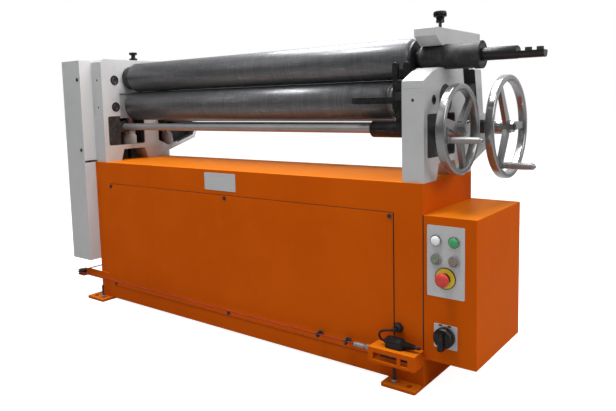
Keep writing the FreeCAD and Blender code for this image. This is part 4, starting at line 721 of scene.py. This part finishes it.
def handles():
    """The grips of the revolving handles: a collar, a light swell and an eased end, bored for the pin."""
    bore = 5.05
    for wheel, x, hub, reach, angle, radius in (
        ("front", 827.0, (-58.0, 736.5), 103.0, 193.0, 9.5),
        ("rear", 867.0, (224.0, 731.0), 132.0, 241.0, 11.0),
    ):
        turn = math.radians(angle)
        base = (x, hub[0] + reach * math.cos(turn), hub[1] + reach * math.sin(turn))
        swell = [(bore, 0), (radius * 0.72, 0)]
        swell += [(radius * 0.86, 1.2), (radius * 0.86, 4), (radius * 0.80, 5)]
        for i in range(13):
            share = i / 12
            girth = 0.86 + 0.14 * math.sin(math.pi * (0.12 + 0.80 * share))
            swell.append((radius * girth, 6.5 + 80 * share))
        swell += [(radius * 0.80, 89.6), (radius * 0.6, 91.6), (bore, 92)]
        grip = Form().turned(swell, base, X, 40)
        grip.piece(f"{wheel}_handle_grip", f"{wheel}_handle", "drawn_steel", (f"{wheel}_handle",))


def switch_knob():
    """The rotary main switch: a fluted dial and a tapered grip bar."""
    x, y, z = 826.5, -175.3, 171.0
    dial = [(0, 0), (28.4, 0), (29, 0.8), (29, 17), (28.2, 18.6)]
    dial += [(26.2, 20), (25, 22.8), (22.6, 24), (0, 24)]
    knob = Form().turned(dial, (x, y, z), -Y, 144, fluted(36, 0.025))
    outline = [(-8.5, -29), (-5, -31), (5, -31), (8.5, -29), (8.5, 8), (6.2, 20), (-6.2, 20), (-8.5, 8)]
    first = len(knob.points)
    for level, narrow, short in ((-24.0, 1.0, 1.0), (-37.0, 0.86, 1.0), (-40.0, 0.66, 0.93)):
        for a, b in outline:
            knob.points.append(at(x + a * narrow, y + level, z + b * short))
    count = len(outline)
    for layer in range(2):
        for i in range(count):
            j = (i + 1) % count
            base = first + layer * count
            knob.faces.append((base + i, base + j, base + count + j, base + count + i))
    knob.faces.append(tuple(range(first + 2 * count, first + 3 * count)))
    knob.faces.append(tuple(range(first, first + count)))
    knob.piece("switch_dial", "main_switch_knob", "black_gloss", ("main_switch_knob",))


# The face of the control plate, the two columns and two rows of the lamps and push buttons, and the stop.
PLATE_FACE = FRONT - 1.5
LEFT_COLUMN, RIGHT_COLUMN, LAMP_ROW, BUTTON_ROW = 799.0, 851.0, 439.0, 386.0
STOP_CENTRE = (826.0, PLATE_FACE, 336.0)


def lamps():
    """Two domed lamp lenses in their bezels."""
    rim = [(13.3, 0), (16.4, 0), (16.4, 3.2), (15.6, 4.6), (14.2, 5), (13.3, 4.4)]
    dome = [(0, -40), (11, -40), (11, -0.2), (13.2, 0.2), (13.2, 5.5)]
    dome += [(12.2, 8.4), (9.2, 10.4), (4.8, 11.6), (0, 12)]
    bezels = Form()
    for x, finish in ((LEFT_COLUMN, "lamp_white"), (RIGHT_COLUMN, "lamp_green")):
        bezels.turned(rim, (x, PLATE_FACE, LAMP_ROW), -Y, 64)
        lamp = Form().turned(dome, (x, PLATE_FACE, LAMP_ROW), -Y, 60, fluted(20, 0.02))
        lamp.piece(f"{finish}_lens", "machine", finish, ("indicator_lamps",))
    bezels.piece("lamp_bezels", "machine", "wheel_chrome", ("indicator_lamps",))


def push_buttons():
    """The caps of the start and the stop button."""
    cap = [(0, -15), (10.9, -15), (10.9, 7.4), (10.2, 8.6), (8.0, 9.0), (6.6, 8.5), (0, 8.3)]
    for x, finish, name in (
        (LEFT_COLUMN, "button_green", "start_button"),
        (RIGHT_COLUMN, "button_red", "stop_button"),
    ):
        button = Form().turned(cap, (x, PLATE_FACE, BUTTON_ROW), -Y, 48)
        button.piece(f"{name}_cap", name, finish, (name,))


def collars():
    """The mushroom stop's waisted collar, and the fluted collars of both push buttons."""
    neck = [(8.3, -30), (11.5, -30), (11.5, 1.5), (15, 1.5), (14.6, 7), (13.4, 10)]
    neck += [(13.8, 11.6), (12.4, 12.6), (8.3, 12.6)]
    waisted = Form().turned(neck, STOP_CENTRE, -Y, 56)
    waisted.piece("stop_collar", "machine", "black_plastic", ("button_bezels",))
    rim = [(11.4, -28), (11.5, -30), (11.5, 0), (16.4, 0), (16.4, 3.6)]
    rim += [(15.4, 5.4), (12.8, 6), (11.5, 5.2), (11.4, 0)]
    both = Form()
    for x in (LEFT_COLUMN, RIGHT_COLUMN):
        both.turned(rim, (x, PLATE_FACE, BUTTON_ROW), -Y, 90, fluted(30, 0.03))
    both.piece("button_collars", "machine", "drawn_steel", ("button_bezels",))


def mushroom_stop():
    """The mushroom stop's head, and the bare yellow disc behind it in its dark rim."""
    profile = [(0, -20), (8, -20), (8, 18), (14, 18.6), (18.8, 20), (20, 21.4), (20, 24.6), (18.6, 27.4)]
    profile += [(15, 30.2), (10, 32), (5, 32.8), (0, 33)]
    head = Form().turned(profile, STOP_CENTRE, -Y, 64)
    head.piece("stop_head", "stop_mushroom", "stop_red", ("stop_mushroom",))
    disc = Form().turned([(15.2, 1.5), (28.4, 1.5), (28.4, 2.1), (15.2, 2.1)], STOP_CENTRE, -Y, 72)
    disc.piece("stop_disc", "machine", "stop_yellow", (), "plate_aluminium")
    profile = [(28.3, -0.1), (30.2, -0.1), (30.2, 2.0), (29.6, 2.5), (28.3, 2.4)]
    rim = Form().turned(profile, STOP_CENTRE, -Y, 72)
    rim.piece("stop_disc_rim", "machine", "black_plastic", (), "black_plastic")


def switch_marks():
    """Two dark marks at the top of the main switch's plate."""
    marks = Form()
    for x in (812.0, 838.0):
        marks.plate(rounded_box((x - 5.0, x + 5.0), (200.0, 204.6), 1.5), FRONT - 2.3, FRONT - 1.9)
    marks.piece("switch_plate_marks", "machine", "black_plastic", (), "black_plastic")


def rope_switch():
    """The rope switch: a housing with its lid and screws, and bellows over its plunger."""
    y, low, high = -203.0, 116.0, 146.0
    housing = Form()
    shape = rounded_box((656, 716), (y - 15, y + 15), 12)
    lid = rounded_box((657.2, 714.8), (y - 13.8, y + 13.8), 11)
    crown = rounded_box((659.8, 712.2), (y - 11.2, y + 11.2), 9)
    housing.plate(shape, low, 134.0, 2).plate(lid, 134.0, 135.2, 2).plate(shape, 135.2, 141.0, 2)
    housing.plate(lid, 141.0, 144.0, 2).plate(crown, 144.0, high, 2)
    housing.turned([(0, 0), (7, 0), (7, 1.6), (6, 2.4), (7, 3.2), (7, 6), (0, 6)], (652, y, 131), X, 30)
    housing.piece("rope_switch_housing", "machine", "black_plastic", ("trip_switch",), eased=0.0006)
    boot = [(0, 0), (11, 0), (11.4, 2.5)]
    for i in range(7):
        radius = 10.6 - 0.42 * i
        boot += [(radius - 2.2, 4.0 + 4.2 * i), (radius, 6.2 + 4.2 * i)]
    boot += [(6.2, 33.5), (5, 36), (5, 47), (4, 49), (0, 50)]
    bellows = Form().turned(boot, (715, y, 131), X, 40)
    bellows.piece("rope_switch_boot", "machine", "black_plastic", ("trip_switch",))
    screws = Form()
    screw = [(0, 0), (2.8, 0), (2.6, 0.9), (1.6, 1.2), (1.2, 0.3), (0, 0.3)]
    for x in (666.0, 706.0):
        for side in (-8.0, 8.0):
            screws.turned(screw, (x, y + side, high - 1.4), Z, 18)
    screws.piece("rope_switch_screws", "machine", "zinc", ("trip_switch",), "zinc")


def lead_gland():
    """The gland where the switch's lead enters the cabinet: a bush, a six-sided nut and a ribbed dome."""
    gland, entry = Form(), (683, FRONT, 168)
    gland.turned([(3.6, -10), (7.4, -10), (7.4, 0), (3.6, 0)], entry, -Y, 24)
    nut = [(3.6, 0), (12.6, 0), (13.2, 0.6), (13.2, 6.4), (12.6, 7), (3.6, 7)]
    gland.turned(nut, entry, -Y, 48, six_sided)
    dome = [(3.6, 7), (12.8, 7), (12.5, 10), (11.4, 14), (9.6, 16.4), (3.6, 17)]
    gland.turned(dome, entry, -Y, 60, fluted(20, 0.05))
    gland.piece("lead_gland", "machine", "black_plastic", ("trip_switch",))


def tensioner():
    """The trip line's turnbuckle: threaded rod with its collar and nut, rope socket and return spring."""
    y, z = -205.0, 98.0
    rod = Form().turned(threaded(5.0, 100.0, 2.0), (575, y, z), X, 24)
    socket = [(2.8, 0), (6.4, 0), (7, 0.8), (7, 8), (6.2, 9), (7, 10), (7, 25.4), (6.4, 26), (2.8, 26)]
    rod.turned(socket, (549, y, z), X, 32)
    rod.turned([(0, 0), (6.4, 0), (7, 0.6), (7, 9.4), (6.4, 10), (0, 10)], (574, y, z), X, 32)
    nut = [(4.9, 0), (7.4, 0), (8, 0.7), (8, 7.3), (7.4, 8), (4.9, 8)]
    rod.turned(nut, (593, y, z), X, 48, six_sided)
    rod.piece("tension_rod", "trip_rod", "drawn_steel", ("turnbuckle",), "bright_steel")
    spring = Form().tube(coil((627.0, y, z), X, 7.9, 5.0, 8.0), 1.5, 8)
    spring.piece("tension_spring", "trip_rod", "oiled_steel", ("turnbuckle",), "bright_steel")


def feet_bolts():
    """Levelling studs with their thread, chamfered nuts and washers."""
    bolts, nuts = Form(), Form()
    for end in (-1, 1):
        x = end * 702.0 - SHIFT
        for side in (-1, 1):
            y = side * 197.0
            bolts.turned(threaded(4.5, 62.0, 1.6), (x, y, 0), Z, 20)
            nuts.turned([(4.4, 0), (10.4, 0), (10.4, 1.6), (4.4, 1.6)], (x, y, 10), Z, 32)
            nut = [(4.4, 0), (9.2, 0), (10, 0.8), (10, 7.4), (9.2, 8.4), (4.4, 8.4)]
            nuts.turned(nut, (x, y, 11.6), Z, 48, six_sided)
    bolts.piece("levelling_studs", "machine", "dark_steel", ("levelling_bolts",), "zinc")
    nuts.piece("levelling_nuts", "machine", "zinc", ("levelling_bolts",), "zinc")


def chain_joints(upper, big, lower, small, pitch):
    """An even number of joints at nearly the chain's pitch, as (y, z) places round two sprockets."""
    arc_steps = 60
    run = lower - upper
    heading = math.atan2(run.y, run.x)
    lean = math.acos((big - small) / run.length)
    path = []
    for i in range(arc_steps + 1):
        turn = heading + lean + (2 * math.pi - 2 * lean) * i / arc_steps
        path.append(upper + Vector((math.cos(turn), math.sin(turn))) * big)
    for i in range(arc_steps + 1):
        turn = heading - lean + 2 * lean * i / arc_steps
        path.append(lower + Vector((math.cos(turn), math.sin(turn))) * small)
    path.append(path[0])
    lengths = [0.0]
    for one, two in zip(path, path[1:]):
        lengths.append(lengths[-1] + (two - one).length)
    count = 2 * round(lengths[-1] / pitch / 2)
    joints, k = [], 0
    for i in range(count):
        reach = lengths[-1] * i / count
        while lengths[k + 1] < reach:
            k += 1
        share = (reach - lengths[k]) / (lengths[k + 1] - lengths[k])
        joints.append(path[k].lerp(path[k + 1], share))
    return joints


def link_plate(one, two, radius):
    """The outline of a link plate with round ends, from joint to joint."""
    along = (two - one).normalized()
    across = Vector((-along.y, along.x))
    outline = []
    for centre, start in ((one, math.pi / 2), (two, -math.pi / 2)):
        for step in range(7):
            turn = start + math.pi * step / 6
            spoke = along * math.cos(turn) + across * math.sin(turn)
            outline.append(tuple(centre + spoke * radius))
    return outline


def chain():
    """The roller chain: pairs of link plates on rollers and pins, round both sprockets."""
    middle = -807.0
    joints = chain_joints(Vector((-20.0, 944.0)), 61.0, Vector((0.0, 255.0)), 44.0, 19.05)
    roller = [(0, -3.2), (3.0, -3.2), (3.2, -2.8), (3.2, 2.8), (3.0, 3.2), (0, 3.2)]
    pin = [(0, -6.9), (1.6, -6.9), (1.6, 6.9), (0, 6.9)]
    links = Form()
    for i, one in enumerate(joints):
        outline = link_plate(one, joints[(i + 1) % len(joints)], 3.7)
        inner, outer = (3.3, 4.6) if i % 2 else (4.9, 6.2)
        for side in (-1, 1):
            links.plate(outline, middle + side * inner, middle + side * outer, 0)
        links.turned(roller, (middle, one.x, one.y), X, 12)
        links.turned(pin, (middle, one.x, one.y), X, 8)
    links.piece("roller_chain", "machine", "oiled_steel", ("drive_chain",))


def panel_shade_line():
    """A thin black strip round the service panel, standing in for the shade line at its edges as painted
    shade.
    """
    x, z = (-667.0, 666.0), (66.0, 503.0)
    seal = Form()
    inner = rounded_box(x, z, 0.6, 2)
    # Painted shade: the strip is widest on the right, where the panel's edge throws the darkest shade line.
    outer = rounded_box((x[0] - 1.2, x[1] + 3.0), (z[0] - 1.6, z[1] + 1.6), 1.2, 2)
    count = len(inner)
    for level in (FRONT - 0.9, FRONT + 0.2):
        for ring in (inner, outer):
            seal.points += [at(a, level, b) for a, b in ring]
    for i in range(count):
        j = (i + 1) % count
        for a, b in ((0, 1), (1, 3), (3, 2), (2, 0)):
            seal.faces.append((a * count + i, a * count + j, b * count + j, b * count + i))
    seal.piece("panel_shade_line", "machine", "black_plastic", (), "black_plastic")


def box_joint():
    """The seal that shows as a line down the front, where the control box stands against the cabinet."""
    strip = Form().plate(rounded_box((758.4, 761.4), (92.0, 505.0), 0.8, 2), FRONT - 0.5, FRONT + 0.3)
    strip.piece("box_joint", "machine", "black_plastic", (), "black_plastic")


def line_eyes():
    """Dark eye bolts with their lock nuts, round the eyes that guide the trip line."""
    eyes = Form()
    y, z = -205.0, 98.0
    ring, wire = [], 3.4
    for i in range(13):
        turn = 2 * math.pi * i / 12
        ring.append((7.6 + wire * math.cos(turn), wire * math.sin(turn)))
    nut = [(2.9, 0), (7.4, 0), (8.0, 0.8), (8.0, 7.2), (2.9, 8.0)]
    for x in (415.0, 519.0):
        eyes.turned(ring, (x, y, z), X, 32)
        eyes.turned([(2.8, 0), (3.1, 0), (3.1, 20), (2.8, 20)], (x, y + 7.0, z), Y, 16)
        eyes.turned(nut, (x, y + 11.0, z), Y, 48, six_sided)
    eyes.piece("line_eye_bolts", "machine", "oiled_steel", (), "dark_steel")


def bracket_shade_plate():
    """A black strip on the cabinet behind the slotted bracket, as painted shade for the bracket's dark
    inside.
    """
    strip = Form().plate(rounded_box((621.0, 756.0), (66.0, 111.0), 2.0, 3), FRONT - 3.0, FRONT - 0.1)
    strip.piece("bracket_shade_plate", "machine", "black_plastic", (), "black_plastic")


def plug_rims():
    """Rubber rims and oiled steel rings on the two plugs of the left frame's inner face."""
    rims, rings = Form(), Form()
    rim = [(14.2, -0.3), (20.2, -0.3), (20.2, 1.2), (18.8, 2.2), (15.2, 2.2), (14.2, 1.4)]
    ring = [(8.6, -0.3), (11.0, -0.3), (11.0, 0.8), (10.4, 1.3), (9.2, 1.3), (8.6, 0.8)]
    centre = [(0, -0.3), (2.2, -0.3), (2.2, 0.6), (1.2, 1.2), (0, 1.3)]
    for z in (822.0, 935.0):
        place = (-693.0, -103.0, z)
        rims.turned(rim, place, X, 48)
        rings.turned(ring, place, X, 40)
        rings.turned(centre, place, X, 16)
    rims.piece("plug_rims", "machine", "black_plastic", (), "black_plastic")
    rings.piece("plug_rings", "machine", "oiled_steel", (), "dark_steel")


def corner_arm_guard():
    """The curved guard behind the corner roller, which joins the arm's plate."""
    x, y, outside, inside = -885.0, -188.5, 24.0, 20.5
    bend = [math.radians(angle) for angle in range(30, 121, 10)]
    outer = [(x + outside * math.cos(turn), y + outside * math.sin(turn)) for turn in bend]
    inner = [(x + inside * math.cos(turn), y + inside * math.sin(turn)) for turn in reversed(bend)]
    outline = [(-858.5, -176.8), (-858.5, -173.2), *outer, *inner]
    guard = Form().plate(outline, 87.5, 108.0, 2)
    guard.piece("corner_arm_guard", "machine", "orange_paint", (), "orange_paint")


def frame_shoulder():
    """The right frame's shoulder: a flat slope up from the front, which grips the frame's own slope."""
    front, top, proud = -167.0, 913.0, 0.4
    slope = [(-proud, -60.0), (-proud, -37.0), (61.0, -8.6), (84.0, -4.4)]
    slope += [(84.0, -12.0), (49.0, -26.0), (10.0, -54.0)]
    outline = [(front + behind, top + rise) for behind, rise in slope]
    shoulder = Form().plate(outline, 693.0 - proud, 760.0 + proud, 0)
    shoulder.piece("frame_shoulder", "machine", "frame_paint", (), "grey_paint", eased=0.0022)


def fork_tips():
    """The rounded steel tips of the clutch lever's forked post, shrunk over its two prongs."""
    tips = Form()
    half, foot, top = 8.8, 903.0, 933.0
    for middle in (636.5, 671.5):
        outline = [(middle - half, foot), (middle + half, foot)]
        for step in range(9):
            turn = math.pi * step / 8
            outline.append((middle + half * math.cos(turn), top - half + half * math.sin(turn)))
        tips.plate(outline, -101.4, -90.6, 1)
    tips.piece("fork_tips", "clutch_lever", "blacked_steel", (), "dark_steel", eased=0.0008)


cap_knob()
left_knob()
handles()
switch_knob()
lamps()
push_buttons()
collars()
mushroom_stop()
switch_marks()
rope_switch()
lead_gland()
tensioner()
feet_bolts()
chain()
panel_shade_line()
box_joint()
line_eyes()
bracket_shade_plate()
plug_rims()
corner_arm_guard()
frame_shoulder()
fork_tips()


# --- Studio -----------------------------------------------------------------------------------------------


def seen_straight(tree):
    """1 where the camera sees a surface itself or through glass, 0 in its light on other surfaces."""
    ray = add_node(tree, "ShaderNodeLightPath", {}, {})
    return Value(tree, ray.outputs["Is Camera Ray"]).math("MAXIMUM", ray.outputs["Is Transmission Ray"])


def pale_floor():
    """A wide floor, nearly white to the camera, that keeps the machine's shadow."""
    reach = 12.0
    corners = [(-reach, -reach, 0), (reach, -reach, 0), (reach, reach, 0), (-reach, reach, 0)]
    mesh = bpy.data.meshes.new("floor")
    mesh.from_pydata(corners, [], [(0, 1, 2, 3)])
    floor = bpy.data.objects.new("floor", mesh)
    bpy.context.scene.collection.objects.link(floor)
    ground = bpy.data.materials.new("floor_white")
    ground.use_nodes = True
    tree = ground.node_tree
    tree.nodes.clear()
    matt = add_node(tree, "ShaderNodeBsdfDiffuse", {}, {"Color": grey(0.42)})
    brightness = seen_straight(tree) * 0.92
    glow = add_node(tree, "ShaderNodeEmission", {}, {"Color": WHITE, "Strength": brightness})
    both = add_node(tree, "ShaderNodeAddShader", {}, {0: matt.outputs[0], 1: glow.outputs[0]})
    add_node(tree, "ShaderNodeOutputMaterial", {}, {"Surface": both.outputs[0]})
    floor.data.materials.append(ground)


def surround():
    """A world that is white to the camera, and for the machine a soft grey room with a pale back wall."""
    world = bpy.data.worlds.new("surround")
    bpy.context.scene.world = world
    world.use_nodes = True
    tree = world.node_tree
    tree.nodes.clear()
    heading = add_node(tree, "ShaderNodeTexCoord", {}, {}).outputs["Generated"]
    axes = add_node(tree, "ShaderNodeSeparateXYZ", {}, {"Vector": heading}).outputs
    behind = add_node(tree, "ShaderNodeMapRange", {}, {"Value": axes[1], "From Min": 0.25, "From Max": 0.8})
    stops = (
        (0.0, grey(0.5)),
        (0.46, rgb(0.10, 0.10, 0.105)),
        (0.56, rgb(0.20, 0.20, 0.21)),
        (0.85, grey(0.8)),
    )
    height = Value(tree, axes[2]) * 0.5 + 0.5
    room = add_node(tree, "ShaderNodeValToRGB", {"stops": stops}, {"Fac": height})
    strength = 0.55
    lit = Value(tree, behind.outputs[0]) * strength
    backdrop = add_node(tree, "ShaderNodeBackground", {}, {"Color": WHITE, "Strength": lit})
    above = add_node(tree, "ShaderNodeBackground", {}, {"Color": room.outputs[0], "Strength": strength})
    soft = add_node(tree, "ShaderNodeAddShader", {}, {0: backdrop.outputs[0], 1: above.outputs[0]})
    plain = add_node(tree, "ShaderNodeBackground", {}, {"Color": WHITE, "Strength": 1.0})
    shaders = {0: seen_straight(tree), 1: soft.outputs[0], 2: plain.outputs[0]}
    mixed = add_node(tree, "ShaderNodeMixShader", {}, shaders)
    add_node(tree, "ShaderNodeOutputWorld", {}, {"Surface": mixed.outputs[0]})


def soft_lights():
    """Four square lamps: name, place, where it aims, side in metres and power in watts."""
    for name, place, aim, size, power in (
        ("key", (-1.9, -2.8, 2.7), (-0.1, 0.0, 0.5), 2.4, 14.0),
        ("fill", (3.6, -0.4, 2.4), (0.3, 0.0, 0.6), 2.0, 48.0),
        ("top", (-0.2, 0.6, 3.0), (0.0, 0.05, 0.6), 1.8, 122.0),
        ("front_strip", (0.35, -0.85, 2.9), (0.1, 0.0, 0.8), 0.6, 34.0),
    ):
        lamp = bpy.data.lights.new(name, "AREA")
        lamp.shape = "SQUARE"
        lamp.size = size
        lamp.energy = power
        holder = bpy.data.objects.new(name, lamp)
        holder.location = place
        holder.rotation_euler = (Vector(aim) - Vector(place)).to_track_quat("-Z", "Y").to_euler()
        bpy.context.scene.collection.objects.link(holder)


def camera():
    """The camera, at the height of the rolls and off the front right corner."""
    yaw, pitch, roll = (math.radians(angle) for angle in (-38.33, -6.12, -1.52))
    ahead = Vector((math.sin(yaw) * math.cos(pitch), math.cos(yaw) * math.cos(pitch), math.sin(pitch)))
    level = Vector((math.cos(yaw), -math.sin(yaw), 0.0))
    upright = level.cross(ahead)
    right = level * math.cos(roll) + upright * math.sin(roll)
    up = upright * math.cos(roll) - level * math.sin(roll)
    data = bpy.data.cameras.new("camera")
    data.sensor_width = 36.0
    data.lens = 36.057
    data.shift_x = 0.03197
    data.shift_y = -0.0634
    data.clip_start, data.clip_end = 0.05, 60.0
    holder = bpy.data.objects.new("camera", data)
    turn = Matrix((right, up, -ahead)).transposed().to_4x4()
    holder.matrix_world = Matrix.Translation((1.5369, -1.7225, 0.8312)) @ turn
    bpy.context.scene.collection.objects.link(holder)
    bpy.context.scene.camera = holder


pale_floor()
surround()
soft_lights()
camera()
bpy.context.scene.view_settings.view_transform = "Standard"
